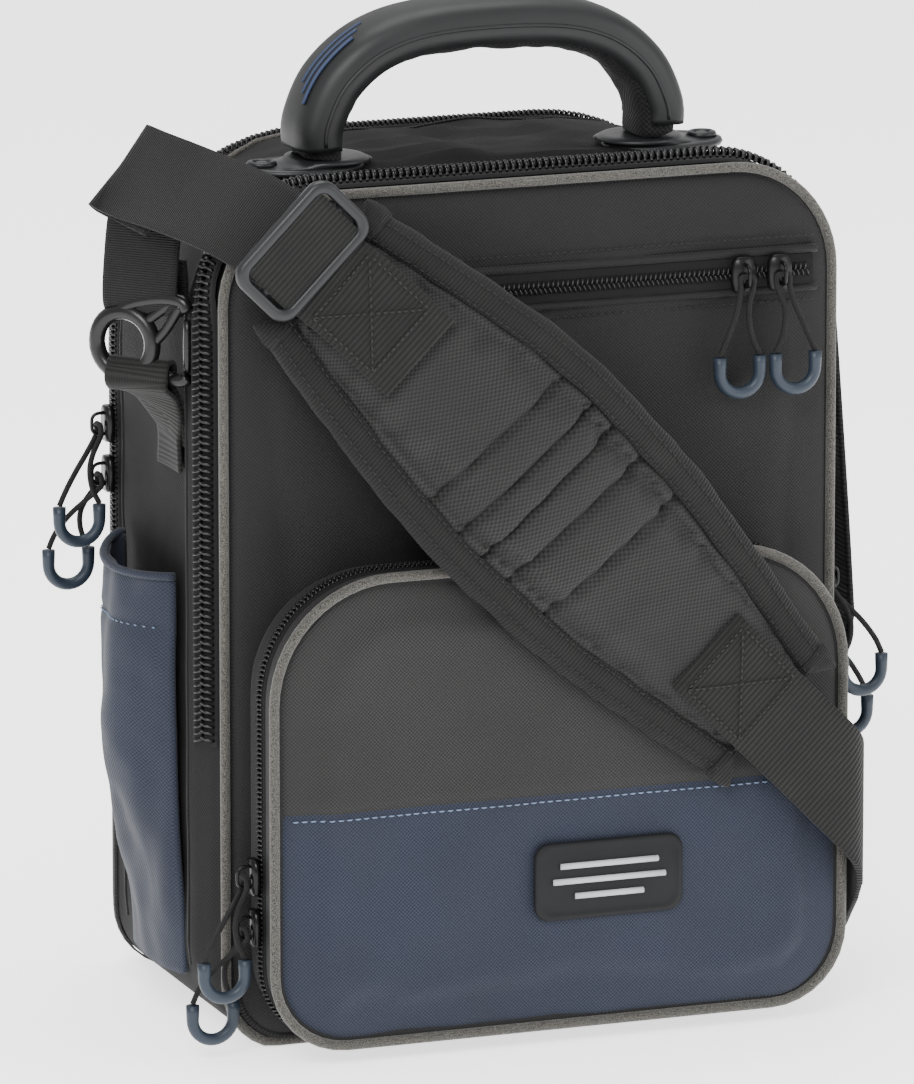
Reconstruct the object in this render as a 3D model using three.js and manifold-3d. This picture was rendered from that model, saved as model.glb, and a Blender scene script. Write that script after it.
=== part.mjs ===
// Flight bag: upright padded bag with a zipped front door, a front pocket, a rear compartment,
// two side pockets, a rubber top handle and a padded shoulder strap. Millimetres.
// X is the bag's width, -Y is the front, +Z is up and the floor is z = 0.
import * as THREE from "three";
import { mergeVertices } from "three/addons/utils/BufferGeometryUtils.js";
import Module from "manifold-3d";

const wasm = await Module();
wasm.setup();
const { Manifold, Mesh } = wasm;

// ---- driving dimensions ----
const bagWidth = 250;
const bagHeight = 332;
const gap = 0.3;
const wall = 6;
const bottomRadius = 26;
const frontTopRadius = 42;
const rearTopRadius = 78;

const doorFrontY = -58;
const shellFrontY = -44;
const shellBackY = 72;
const rearBackY = 92;
const frontInset = 3;

const doorHingeZ = 105;
const rearHingeZ = 170;

const pocketHalfWidth = 115;
const pocketLow = 9;
const pocketHigh = 188;
const pocketFrontY = -92;
const pocketWall = 4;

const pipingRadius = 2.6;
const pipingClear = 0.7;
const chainHeight = 2;
const webbingWidth = 38;
const webbingThickness = 1.8;

const group = new THREE.Group();

// ---- helpers ----
function addNode(name, geometry, color, roughness, metalness = 0) {
  const material = new THREE.MeshStandardMaterial({ color, roughness, metalness });
  material.name = name;
  const mesh = new THREE.Mesh(geometry, material);
  mesh.name = name;
  group.add(mesh);
}

function toSolid(geometry) {
  const bare = geometry.clone();
  bare.deleteAttribute("normal");
  bare.deleteAttribute("uv");
  const merged = mergeVertices(bare, 1e-4);
  const mesh = new Mesh({
    numProp: 3,
    vertProperties: new Float32Array(merged.attributes.position.array),
    triVerts: new Uint32Array(merged.index.array),
  });
  mesh.merge();
  return new Manifold(mesh);
}

function toGeometry(solid) {
  const mesh = solid.getMesh();
  const geometry = new THREE.BufferGeometry();
  geometry.setAttribute("position", new THREE.BufferAttribute(mesh.vertProperties, 3));
  geometry.setIndex(new THREE.BufferAttribute(mesh.triVerts, 1));
  return geometry;
}

// A solid box between two corners.
function block(low, high) {
  const size = high.map((value, axis) => value - low[axis]);
  const middle = high.map((value, axis) => (value + low[axis]) / 2);
  const geometry = new THREE.BoxGeometry(...size);
  geometry.translate(...middle);
  return toSolid(geometry);
}

// Joins rings of equal point count into a closed solid with flat fan caps.
function loft(rings) {
  const count = rings[0].length;
  const positions = rings.flat(2);
  const faces = [];
  for (let ring = 0; ring < rings.length - 1; ring++) {
    for (let i = 0; i < count; i++) {
      const a = ring * count + i;
      const b = ring * count + (i + 1) % count;
      faces.push(a, b, a + count, b, b + count, a + count);
    }
  }
  const last = (rings.length - 1) * count;
  for (let i = 1; i < count - 1; i++) {
    faces.push(0, i + 1, i);
    faces.push(last, last + i, last + i + 1);
  }
  const geometry = new THREE.BufferGeometry();
  geometry.setAttribute("position", new THREE.Float32BufferAttribute(positions, 3));
  geometry.setIndex(signedVolume(positions, faces) < 0 ? reversed(faces) : faces);
  return geometry;
}

function reversed(faces) {
  const result = [];
  for (let i = 0; i < faces.length; i += 3) {
    result.push(faces[i], faces[i + 2], faces[i + 1]);
  }
  return result;
}

function signedVolume(positions, faces) {
  const corner = (index) => new THREE.Vector3().fromArray(positions, index * 3);
  let volume = 0;
  for (let i = 0; i < faces.length; i += 3) {
    const [a, b, c] = [corner(faces[i]), corner(faces[i + 1]), corner(faces[i + 2])];
    volume += a.dot(b.cross(c)) / 6;
  }
  return volume;
}

// Rounded rectangle in the XZ plane at one y, as a ring of points.
function roundedRing(y, halfWidth, low, high, topRadius, lowRadius, arcSteps = 6) {
  const corners = [
    [halfWidth - lowRadius, low + lowRadius, lowRadius, -90],
    [halfWidth - topRadius, high - topRadius, topRadius, 0],
    [topRadius - halfWidth, high - topRadius, topRadius, 90],
    [lowRadius - halfWidth, low + lowRadius, lowRadius, 180],
  ];
  const ring = [];
  for (const [x, z, radius, start] of corners) {
    for (let step = 0; step <= arcSteps; step++) {
      const angle = THREE.MathUtils.degToRad(start + 90 * step / arcSteps);
      ring.push([x + radius * Math.cos(angle), y, z + radius * Math.sin(angle)]);
    }
  }
  return ring;
}

// The bag's outline at one y; inset is positive inwards.
function bagRing(y, inset) {
  const share = THREE.MathUtils.clamp((y - shellFrontY) / (shellBackY - shellFrontY), 0, 1);
  const topRadius = THREE.MathUtils.lerp(frontTopRadius, rearTopRadius, share);
  return roundedRing(
    y, bagWidth / 2 - inset, inset, bagHeight - inset, topRadius - inset, bottomRadius - inset,
  );
}

function pocketRing(y, inset) {
  return roundedRing(
    y, pocketHalfWidth - inset, pocketLow + inset, pocketHigh - inset, 46 - inset, 28 - inset,
  );
}

function above(solid, z) {
  return solid.intersect(block([-300, -300, z], [300, 300, 600]));
}

function below(solid, z) {
  return solid.intersect(block([-300, -300, -100], [300, 300, z]));
}

// Round tube along a smooth line through the points.
function tube(points, radius, steps, sides = 8) {
  const curve = new THREE.CatmullRomCurve3(points.map((p) => new THREE.Vector3(...p)));
  const circle = new THREE.Shape().absarc(0, 0, radius, 0, 2 * Math.PI);
  const options = { steps, curveSegments: sides / 2, bevelEnabled: false, extrudePath: curve };
  return new THREE.ExtrudeGeometry(circle, options);
}

// Flat strip through stations of [centre, width direction, width].
function ribbon(stations, thickness) {
  const centres = stations.map(([centre]) => new THREE.Vector3(...centre));
  const rings = stations.map(([, across, width], index) => {
    const before = centres[Math.max(index - 1, 0)];
    const after = centres[Math.min(index + 1, centres.length - 1)];
    const along = after.clone().sub(before).normalize();
    const side = new THREE.Vector3(...across).normalize();
    const normal = along.clone().cross(side).normalize();
    const corner = (sideways, outwards) => centres[index].clone()
      .addScaledVector(side, sideways * width / 2)
      .addScaledVector(normal, outwards * thickness / 2)
      .toArray();
    return [corner(-1, -1), corner(1, -1), corner(1, 1), corner(-1, 1)];
  });
  return loft(rings);
}

// ---- bag shell, back and rear compartment ----
function mainShell() {
  const outer = toSolid(loft([bagRing(shellFrontY, 0), bagRing(shellBackY, 0)]));
  const inner = toSolid(loft([bagRing(shellFrontY - 10, wall), bagRing(shellBackY + 10, wall)]));
  const frontOuter = toSolid(loft([
    bagRing(doorFrontY, frontInset), bagRing(shellFrontY + 1, frontInset),
  ]));
  const frontInner = toSolid(loft([
    bagRing(doorFrontY + wall + 2, wall + frontInset), bagRing(shellFrontY + 2, wall + frontInset),
  ]));
  const tubeWall = outer.subtract(inner);
  const frontWall = below(frontOuter.subtract(frontInner).subtract(inner), doorHingeZ);
  const frontPlate = below(toSolid(loft([
    bagRing(doorFrontY, frontInset), bagRing(doorFrontY + wall + 2, frontInset),
  ])), doorHingeZ);
  return toGeometry(tubeWall.add(frontWall).add(frontPlate));
}
addNode("main_shell", mainShell(), 0x39393b, 0.9);

addNode("base_board", toGeometry(block([-100, -40, wall + gap], [100, 68, 9])), 0x2b2b2d, 0.8);

addNode(
  "padded_divider", toGeometry(block([-108, 30, 9 + gap], [108, 36, 255])), 0x33343a, 0.9,
);

const backRing = (y) => bagRing(y, 1);
addNode(
  "back_wall", loft([backRing(shellBackY + gap), backRing(shellBackY + 3)]), 0x303032, 0.9,
);

function rearCup() {
  const start = shellBackY + 3 + gap;
  const outer = toSolid(loft([
    bagRing(start, 0), bagRing(start + 8, 2), bagRing(rearBackY, 11),
  ]));
  const inner = toSolid(loft([
    bagRing(start - 5, 4), bagRing(start + 7, 6), bagRing(rearBackY - 5, 13),
  ]));
  return outer.subtract(inner);
}
addNode("rear_shell", toGeometry(below(rearCup(), rearHingeZ)), 0x38383a, 0.9);
addNode("rear_flap", toGeometry(above(rearCup(), rearHingeZ + gap)), 0x3a3a3c, 0.9);

// ---- front door and its upper pocket ----
function frontPanel() {
  const outer = toSolid(loft([
    bagRing(doorFrontY, frontInset), bagRing(shellFrontY - gap, frontInset),
  ]));
  const inner = toSolid(loft([
    bagRing(doorFrontY + wall, wall + frontInset), bagRing(shellFrontY + 5, wall + frontInset),
  ]));
  return toGeometry(above(outer.subtract(inner), doorHingeZ + gap));
}
addNode("front_panel", frontPanel(), 0x3b3b3d, 0.9);

const facePlateY = doorFrontY - gap;
addNode(
  "upper_pocket_face",
  loft([
    roundedRing(facePlateY - 3, 112, 192, 318, 34, 4),
    roundedRing(facePlateY, 112, 192, 318, 34, 4),
  ]),
  0x3d3c3d, 0.9,
);
const upperZipY = facePlateY - 3 - gap;
const upperZipZ = 291;
addNode(
  "upper_pocket_zip",
  toGeometry(block([-100, upperZipY - chainHeight, upperZipZ - 3.5], [112, upperZipY, upperZipZ + 3.5])),
  0x1f1f21, 0.6,
);

// ---- front pocket, split where the door folds ----
function pocketBody() {
  const outer = toSolid(loft([
    pocketRing(pocketFrontY, 3), pocketRing(pocketFrontY + 4, 0), pocketRing(doorFrontY - gap, 0),
  ]));
  const inner = toSolid(loft([
    pocketRing(pocketFrontY + pocketWall, pocketWall + 1), pocketRing(doorFrontY + 5, pocketWall),
  ]));
  return outer.subtract(inner);
}
addNode("pocket_lower", toGeometry(below(pocketBody(), doorHingeZ)), 0x3d4760, 0.9);
addNode("pocket_upper", toGeometry(above(pocketBody(), doorHingeZ + gap)), 0x454446, 0.9);

const pocketZipY = -73.4;
function pocketChain() {
  const low = pocketZipY - 3;
  const high = pocketZipY + 3;
  const outer = toSolid(loft([
    pocketRing(low, -gap - chainHeight), pocketRing(high, -gap - chainHeight),
  ]));
  return outer.subtract(toSolid(loft([pocketRing(low - 1, -gap), pocketRing(high + 1, -gap)])));
}
addNode("pocket_zip_lower", toGeometry(below(pocketChain(), doorHingeZ)), 0x1d1d1f, 0.6);
addNode("pocket_zip_upper", toGeometry(above(pocketChain(), doorHingeZ + gap)), 0x1d1d1f, 0.6);

// Keeps the part of a ring on one side of a height, ordered from left to right, with cut ends.
function openPath(ring, cutZ, upper) {
  const kept = ring.filter(([, , z]) => (upper ? z > cutZ + 1 : z < cutZ - 1));
  const halfWidth = Math.max(...ring.map(([x]) => Math.abs(x)));
  const left = kept.filter(([x]) => x < 0).sort((p, q) => (upper ? p[2] - q[2] : q[2] - p[2]));
  const right = kept.filter(([x]) => x >= 0).sort((p, q) => (upper ? q[2] - p[2] : p[2] - q[2]));
  const y = ring[0][1];
  return [[-halfWidth, y, cutZ], ...left, ...right, [halfWidth, y, cutZ]];
}
const pocketPipingRing = pocketRing(pocketFrontY + 2, -pipingClear - pipingRadius);
addNode(
  "pocket_piping_lower", tube(openPath(pocketPipingRing, doorHingeZ, false), pipingRadius, 36),
  0x8b877c, 0.8,
);
addNode(
  "pocket_piping_upper", tube(openPath(pocketPipingRing, doorHingeZ + gap, true), pipingRadius, 36),
  0x8b877c, 0.8,
);
const doorPipingRing = bagRing(doorFrontY + 3, frontInset - pipingClear - pipingRadius);
addNode(
  "front_panel_piping", tube(openPath(doorPipingRing, doorHingeZ + gap, true), pipingRadius, 40),
  0x8b877c, 0.8,
);

function badge() {
  const y = pocketFrontY - gap;
  return loft([
    roundedRing(y - 2.5, 29, 52, 80, 5, 5, 3), roundedRing(y, 30, 51, 81, 6, 6, 3),
  ]);
}
const badgeGeometry = badge();
badgeGeometry.translate(17, 0, 0);
addNode("badge_patch", badgeGeometry, 0x2f3a52, 0.6);

// ---- zipper chains round the bag ----
function chainBand(middleY, halfWidth, cutZ) {
  const low = middleY - halfWidth;
  const high = middleY + halfWidth;
  const outer = toSolid(loft([
    bagRing(low, -gap - chainHeight), bagRing(high, -gap - chainHeight),
  ]));
  const inner = toSolid(loft([bagRing(low - 1, -gap), bagRing(high + 1, -gap)]));
  return toGeometry(above(outer.subtract(inner), cutZ));
}
const mainZipY = -38;
const rearZipY = 67.5;
addNode("main_zip_chain", chainBand(mainZipY, 4, 112), 0x1f1f21, 0.6);
addNode("rear_zip_chain", chainBand(rearZipY, 3.5, rearHingeZ + 2), 0x1f1f21, 0.6);

// ---- side pockets: they bulge, and are open at the top and against the shell ----
function sidePocket(side) {
  const inner = bagWidth / 2 + gap;
  const profile = [[22, 8], [50, 14], [90, 20], [130, 23], [178, 21]];
  // Seen from above: flat against the shell, bulging outwards by the depth.
  const ring = (z, depth, startY, endY, flat) => {
    const points = [[flat, startY, z]];
    for (let step = 0; step <= 10; step++) {
      const share = step / 10;
      const swell = Math.sin(Math.PI * (0.06 + 0.88 * share)) ** 0.6;
      points.push([inner + depth * swell, startY + (endY - startY) * share, z]);
    }
    points.push([flat, endY, z]);
    return points;
  };
  const body = toSolid(loft(profile.map(([z, depth]) => ring(z, depth, -15, 46, inner))));
  const hollow = toSolid(loft([...profile.slice(1), [200, 21]].map(
    ([z, depth], index) => ring(index ? z : 26, index ? depth - 3 : 6, -12, 43, inner - 5),
  )));
  const geometry = toGeometry(body.subtract(hollow));
  if (side < 0) geometry.rotateZ(Math.PI).translate(0, 31, 0);
  return geometry;
}
addNode("side_pocket_left", sidePocket(-1), 0x3d4760, 0.9);
addNode("side_pocket_right", sidePocket(1), 0x3d4760, 0.9);

// ---- strap anchors: webbing tab, snap hook and its gate on each side ----
const hookY = -8;
const tabLow = 236;
const tabHigh = 264;
const hookX = bagWidth / 2 + gap + 4.5;
const hookLow = tabHigh - 8;
const hookHigh = hookLow + 34;
// The left hook hangs turned out from the bag about this upright line; the right one lies flat.
const hookTurn = 45;
const hookTurnAt = [-hookX + 2.5, hookY - 20];
function turnOut(solid) {
  const [x, y] = hookTurnAt;
  return solid.translate(-x, -y, 0).rotate(0, 0, hookTurn).translate(x, y, 0);
}
function onSide(solid, side) {
  return side > 0 ? solid : turnOut(solid.mirror([1, 0, 0]));
}

function anchorTab(side) {
  const inner = bagWidth / 2 + gap;
  const body = block([inner, hookY - 12, tabLow], [inner + 9, hookY + 12, tabHigh]);
  const slot = block([inner + 1.7, hookY - 20, tabLow + 12], [inner + 7.3, hookY + 20, tabHigh - 1.7]);
  if (side > 0) return toGeometry(body.subtract(slot));
  const loop = turnOut(body.subtract(slot).mirror([1, 0, 0]));
  const loopFoot = turnOut(
    block([inner + 2, hookY - 12, tabLow + 6], [inner + 8, hookY + 12, tabLow + 10]).mirror([1, 0, 0]),
  );
  const sewn = block([-inner - 2, hookY - 12, tabLow - 12], [-inner, hookY + 12, tabLow]);
  const outside = block([-300, -300, 0], [-inner, 300, 500]);
  return toGeometry(Manifold.hull([sewn, loopFoot]).add(above(loop, tabLow + 6)).intersect(outside));
}

function snapHook(side) {
  const ring = block([hookX - 2, hookY - 21.5, hookLow], [hookX + 2, hookY + 21.5, hookHigh]);
  const eye = block([hookX - 5, hookY - 17.5, hookLow + 4], [hookX + 5, hookY + 17.5, hookHigh - 6]);
  const gateRoom = block([hookX - 5, hookY - 25, hookLow + 3], [hookX + 5, hookY - 17, hookHigh - 7]);
  return toGeometry(onSide(ring.subtract(eye).subtract(gateRoom), side));
}

function hookGate(side) {
  const gate = block(
    [hookX - 1.7, hookY - 21, hookLow + 4.4], [hookX + 1.7, hookY - 18.2, hookHigh - 8],
  );
  return toGeometry(onSide(gate, side));
}
for (const [side, word] of [[-1, "left"], [1, "right"]]) {
  addNode(`anchor_tab_${word}`, anchorTab(side), 0x3b3d3f, 0.9);
  addNode(`snap_hook_${word}`, snapHook(side), 0x2a2b2d, 0.5);
  addNode(`hook_gate_${word}`, hookGate(side), 0x222325, 0.5);
}

// ---- top handle: rubber grip on two moulded plates ----
const handleY = -5;
const handleLegX = 68;
const handleFootZ = bagHeight + 6.5;
function handleBase(side) {
  const x = side * handleLegX;
  const low = bagHeight + gap;
  const plate = block([x - 18, handleY - 12, low], [x + 18, handleY + 12, low + 2]);
  return toGeometry(plate);
}
addNode("handle_base_left", handleBase(-1), 0x3a3c3f, 0.6);
addNode("handle_base_right", handleBase(1), 0x3a3c3f, 0.6);

const handleLine = [
  [-handleLegX, handleY, handleFootZ], [-67.5, handleY, 350], [-60, handleY, 365],
  [-44, handleY, 377], [-20, handleY, 382.5], [20, handleY, 382.5], [44, handleY, 377],
  [60, handleY, 365], [67.5, handleY, 350], [handleLegX, handleY, handleFootZ],
];
const handleCurve = new THREE.CatmullRomCurve3(handleLine.map((p) => new THREE.Vector3(...p)));

// A flattened bar along the handle's line, raised outwards, over a share of its length.
function handleBar(halfAcross, halfThick, raised, from, to, steps) {
  const rings = [];
  for (let step = 0; step <= steps; step++) {
    const share = from + (to - from) * step / steps;
    const along = handleCurve.getTangentAt(share);
    const normal = new THREE.Vector3(-along.z, 0, along.x).normalize();
    const centre = handleCurve.getPointAt(share).addScaledVector(normal, raised);
    const ring = [];
    for (let i = 0; i < 8; i++) {
      const angle = (i + 0.5) * Math.PI / 4;
      const across = Math.sign(Math.cos(angle)) * Math.min(1, Math.abs(Math.cos(angle)) * 1.25);
      ring.push([
        centre.x + normal.x * halfThick * Math.sin(angle),
        centre.y + across * halfAcross,
        centre.z + normal.z * halfThick * Math.sin(angle),
      ]);
    }
    rings.push(ring);
  }
  return loft(rings);
}
const gripThick = 7;
const coverThick = 2.4;
addNode("handle_grip", handleBar(15, gripThick, 0, 0, 1, 26), 0x2f3032, 0.8);
addNode(
  "handle_cover", handleBar(17, coverThick, gripThick + coverThick + 0.5, 0.05, 0.95, 24),
  0x45484c, 0.7,
);

// ---- shoulder strap: pad, webbing and tri-glide ----
const across = [1, 0, 1];
const padStations = [
  [[-90, -75, 304], across, 64], [[-70, -83, 283], across, 76], [[-42, -94, 254], across, 90],
  [[-20, -100, 231], across, 95], [[-4, -101, 214], across, 94], [[22, -101, 187], across, 90],
  [[50, -101, 158], across, 78], [[81, -101, 126], across, 62],
];
addNode("shoulder_pad", ribbon(padStations, 12), 0x3a3b3d, 0.95);

const frontOfPad = -108.5;
addNode(
  "strap_webbing_upper",
  ribbon([
    [[-72, -90.5, 286], across, webbingWidth], [[-88, -84.5, 302], across, webbingWidth],
    [[-102, -78, 316], across, webbingWidth], [[-116, -66, 328], across, webbingWidth],
    [[-128, -44, 334], across, webbingWidth], [[-136, -20, 334], across, webbingWidth],
    [[-139, -4, 329], [1, 0.1, 0.9], webbingWidth],
  ], webbingThickness),
  0x2c2c2e, 0.9,
);
// The strap's way round the bag seen from above: along the pad, round the pocket's edge, then back
// outside the side pocket. Its edges follow the same curve, so it wraps as flat webbing does.
const strapPlan = new THREE.CatmullRomCurve3([
  [60, frontOfPad], [90, frontOfPad], [106, frontOfPad], [114, -107], [118.5, -103], [121.2, -97],
  [122.6, -90], [124.2, -80], [126.5, -70], [129.5, -58], [131.5, -46], [133, -36], [135.5, -27],
  [140, -18.5], [145, -11], [149.5, -3.5], [152, 4], [154, 12], [155, 22], [155, 40],
].map(([x, y]) => new THREE.Vector3(x, y, 0)));
strapPlan.arcLengthDivisions = 800;
const strapPlanLength = strapPlan.getLength();

// A point at a distance along the strap's plan, at height z, moved out by an offset.
function strapPoint(distance, z, offset) {
  const share = THREE.MathUtils.clamp(distance / strapPlanLength, 0, 1);
  const place = strapPlan.getPointAt(share);
  const along = strapPlan.getTangentAt(share);
  return [place.x + along.y * offset, place.y - along.x * offset, z];
}

// Webbing through stations of [distance, z, direction across as [distance, z]].
function wrappedWebbing(stations) {
  const spread = [-1, -0.5, 0, 0.5, 1];
  return stations.map(([distance, z, [acrossDistance, acrossZ]]) => {
    const row = (side, offset) => side.map((k) => strapPoint(
      distance + k * acrossDistance * webbingWidth / 2,
      z + k * acrossZ * webbingWidth / 2,
      offset * webbingThickness / 2,
    ));
    return [...row(spread, -1), ...row([...spread].reverse(), 1)];
  });
}
const diagonal = [Math.SQRT1_2, Math.SQRT1_2];
const strapDiagonal = (distance) => [distance, 147 - distance, diagonal];
addNode(
  "strap_webbing_lower",
  loft(wrappedWebbing([8, 20, 32, 44, 52, 58, 64, 70, 76].map(strapDiagonal))),
  0x2c2c2e, 0.9,
);

// Down from the pocket's edge, round below the zip pulls, then up to the right hook.
function sideWebbing() {
  const [middle, middleZ, radius] = [128.8, 96, 55];
  const stations = [strapDiagonal(80), strapDiagonal(85)];
  for (let angle = 225; angle <= 360; angle += 22.5) {
    const turn = THREE.MathUtils.degToRad(angle);
    const [d, z] = [Math.cos(turn), Math.sin(turn)];
    stations.push([middle + radius * d, middleZ + radius * z, [-d, -z]]);
  }
  const rings = wrappedWebbing(stations);
  const rise = [[153, 7, 140], [149.5, 5, 180], [144.5, 1, 225], [138.5, -5, 268], [133.5, hookY, 293]];
  for (const [x, y, z] of rise) {
    const row = (side, offset) => side.map((k) => [x + offset, y - k * webbingWidth / 2, z]);
    const spread = [-1, -0.5, 0, 0.5, 1];
    const half = webbingThickness / 2;
    rings.push([...row(spread, -half), ...row([...spread].reverse(), half)]);
  }
  return loft(rings);
}
addNode("strap_side_webbing", sideWebbing(), 0x2c2c2e, 0.9);

function triGlide() {
  const frame = block([-26, -2.5, -15], [26, 2.5, 15]);
  const slotUpper = block([-20.5, -6, 2.5], [20.5, 6, 10.5]);
  const slotLower = block([-20.5, -6, -10.5], [20.5, 6, -2.5]);
  const geometry = toGeometry(frame.subtract(slotUpper).subtract(slotLower));
  geometry.rotateY(-Math.PI / 4);
  geometry.translate(-103, -86, 317);
  return geometry;
}
addNode("tri_glide", triGlide(), 0x55585c, 0.45);

// ---- zip sliders and their pulls ----
// Built on a surface facing -Y at the origin, then turned to the face they sit on.
const eyeOut = 5.6;
const cordRadius = 1.1;
const cordDrop = 30;
const gripRadius = 8.2;
const gripTube = 2.3;

function slider() {
  const body = block([-5, -3.3, -7], [5, -gap, 7]);
  const bridge = block([-1.3, -8.8, -4.4], [1.3, -3, 4.4]);
  const eye = block([-5, -eyeOut - 1.9, -2.5], [5, -eyeOut + 1.9, 2.5]);
  return toGeometry(body.add(bridge.subtract(eye)));
}

// A pull lies flat on the face, or stands out from it: [middle sideways, middle out, spread sideways,
// spread out], where the spread is the way from one end of the rubber grip to the other.
function flatPull(sideways) {
  return [sideways, 8.5, 1, 0];
}
// The cord's leg that starts on the pull's own side runs nearer to the bag.
function standingPull(sideways) {
  return [sideways, 16, 0, -Math.sign(sideways)];
}

function pullCord([middle, out, spreadX, spreadOut]) {
  const point = (share, side, twist, spread, z) => [
    middle * share + side * (2.6 * (1 - twist) + spread * twist * spreadX),
    -(eyeOut + (out - eyeOut) * share + side * spread * twist * spreadOut),
    z,
  ];
  const leg = (side) => [
    point(0, side, 0, 0, -0.7),
    point(0, side, 0, 0, -4.6),
    point(0.45, side, 0.45, 1.8, -11),
    point(0.8, side, 0.75, 3.4, -17),
    point(1, side, 0.95, 5.6, -24),
    point(1, side, 1, gripRadius, -cordDrop),
  ];
  return tube([...leg(-1).reverse(), [0, -eyeOut, -0.2], ...leg(1)], cordRadius, 28);
}

// A rubber tube bent into a U, with the cord's two ends in its two ends.
function pullGrip([middle, out, spreadX, spreadOut]) {
  const top = -cordDrop - 2 * gap;
  const point = (spread, z) => [middle + spread * spreadX, -out - spread * spreadOut, z];
  const points = [point(-gripRadius, top)];
  for (let step = 0; step <= 8; step++) {
    const angle = Math.PI * (1 + step / 8);
    points.push(point(gripRadius * Math.cos(angle), top - 6 + gripRadius * Math.sin(angle)));
  }
  points.push(point(gripRadius, top));
  return tube(points, gripTube, 16);
}

// Each zip: [name, turn about Z in degrees, [upper slider's place, pull], [lower slider's place, pull]].
const bandOut = bagWidth / 2 + gap + chainHeight;
const pocketOut = pocketHalfWidth + gap + chainHeight;
const upperFace = upperZipY - chainHeight;
const lane = 7;
const zips = [
  [
    "main", 90, [[bandOut, mainZipY, 162], standingPull(-lane)],
    [[bandOut, mainZipY, 142], standingPull(lane)],
  ],
  [
    "rear", -90, [[-bandOut, rearZipY, 222], standingPull(lane)],
    [[-bandOut, rearZipY, 202], standingPull(-lane)],
  ],
  [
    "pocket", -90, [[-pocketOut, pocketZipY, 73], standingPull(lane)],
    [[-pocketOut, pocketZipY, 53], standingPull(-lane)],
  ],
  ["upper", 0, [[84, upperFace, upperZipZ], flatPull(-4)], [[99, upperFace, upperZipZ], flatPull(4)]],
];
for (const [zip, turn, first, second] of zips) {
  for (const [letter, [place, pull]] of [["a", first], ["b", second]]) {
    const pieces = [
      [`${zip}_slider_${letter}`, slider(), 0x26272a, 0.4, 0.3],
      [`${zip}_cord_${letter}`, pullCord(pull), 0x1c1c1e, 0.9, 0],
      [`${zip}_grip_${letter}`, pullGrip(pull), 0x4f6375, 0.6, 0],
    ];
    for (const [name, geometry, color, roughness, metalness] of pieces) {
      geometry.rotateZ(THREE.MathUtils.degToRad(turn));
      geometry.translate(...place);
      addNode(name, geometry, color, roughness, metalness);
    }
  }
}

export default group;
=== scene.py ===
"""Flight bag: the visual model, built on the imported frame.

Shapes are worked out in millimetres, in the frame's own axes (X width, -Y front, +Z up), and turned
into metres where each mesh is made.
"""

import math

import bmesh
import bpy
from mathutils import Matrix, Vector, noise


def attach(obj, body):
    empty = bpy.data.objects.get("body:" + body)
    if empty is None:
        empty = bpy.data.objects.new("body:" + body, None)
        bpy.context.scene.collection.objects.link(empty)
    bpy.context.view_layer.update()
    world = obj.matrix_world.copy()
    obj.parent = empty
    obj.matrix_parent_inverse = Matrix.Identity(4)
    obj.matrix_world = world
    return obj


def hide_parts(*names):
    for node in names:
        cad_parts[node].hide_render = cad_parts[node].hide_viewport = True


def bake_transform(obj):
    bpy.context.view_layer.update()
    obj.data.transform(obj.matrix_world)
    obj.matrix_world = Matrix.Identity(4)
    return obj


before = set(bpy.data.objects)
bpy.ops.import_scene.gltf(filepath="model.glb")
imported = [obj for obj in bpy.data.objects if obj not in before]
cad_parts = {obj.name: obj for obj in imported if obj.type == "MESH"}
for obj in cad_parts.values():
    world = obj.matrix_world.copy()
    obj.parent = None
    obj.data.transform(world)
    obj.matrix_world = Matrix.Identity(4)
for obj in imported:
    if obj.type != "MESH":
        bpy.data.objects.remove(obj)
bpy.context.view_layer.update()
MM = 0.001

# ---- sizes shared with the CAD, in millimetres ----
BAG_HALF = 125
BAG_HIGH = 332
SHELL_FRONT = -44
SHELL_BACK = 72
TOP_RADIUS_FRONT = 42
TOP_RADIUS_BACK = 78
LOW_RADIUS = 26
POCKET_HALF = 115
POCKET_TOP_RADIUS = 46
POCKET_LOW_RADIUS = 28
POCKET_LOW = 9
POCKET_HIGH = 188
SEAM_Z = 100
MAIN_ZIP_Y = -38
REAR_ZIP_Y = 67.5
POCKET_ZIP_Y = -73.4
UPPER_ZIP_Z = 291
HANDLE_Y = -5
HOOK_Y = -8
HOOK_X = 129.8
WEBBING = 38

# ---- padding: how long the cloth simulation runs ----
CLOTH_FRAMES = 20


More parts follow.
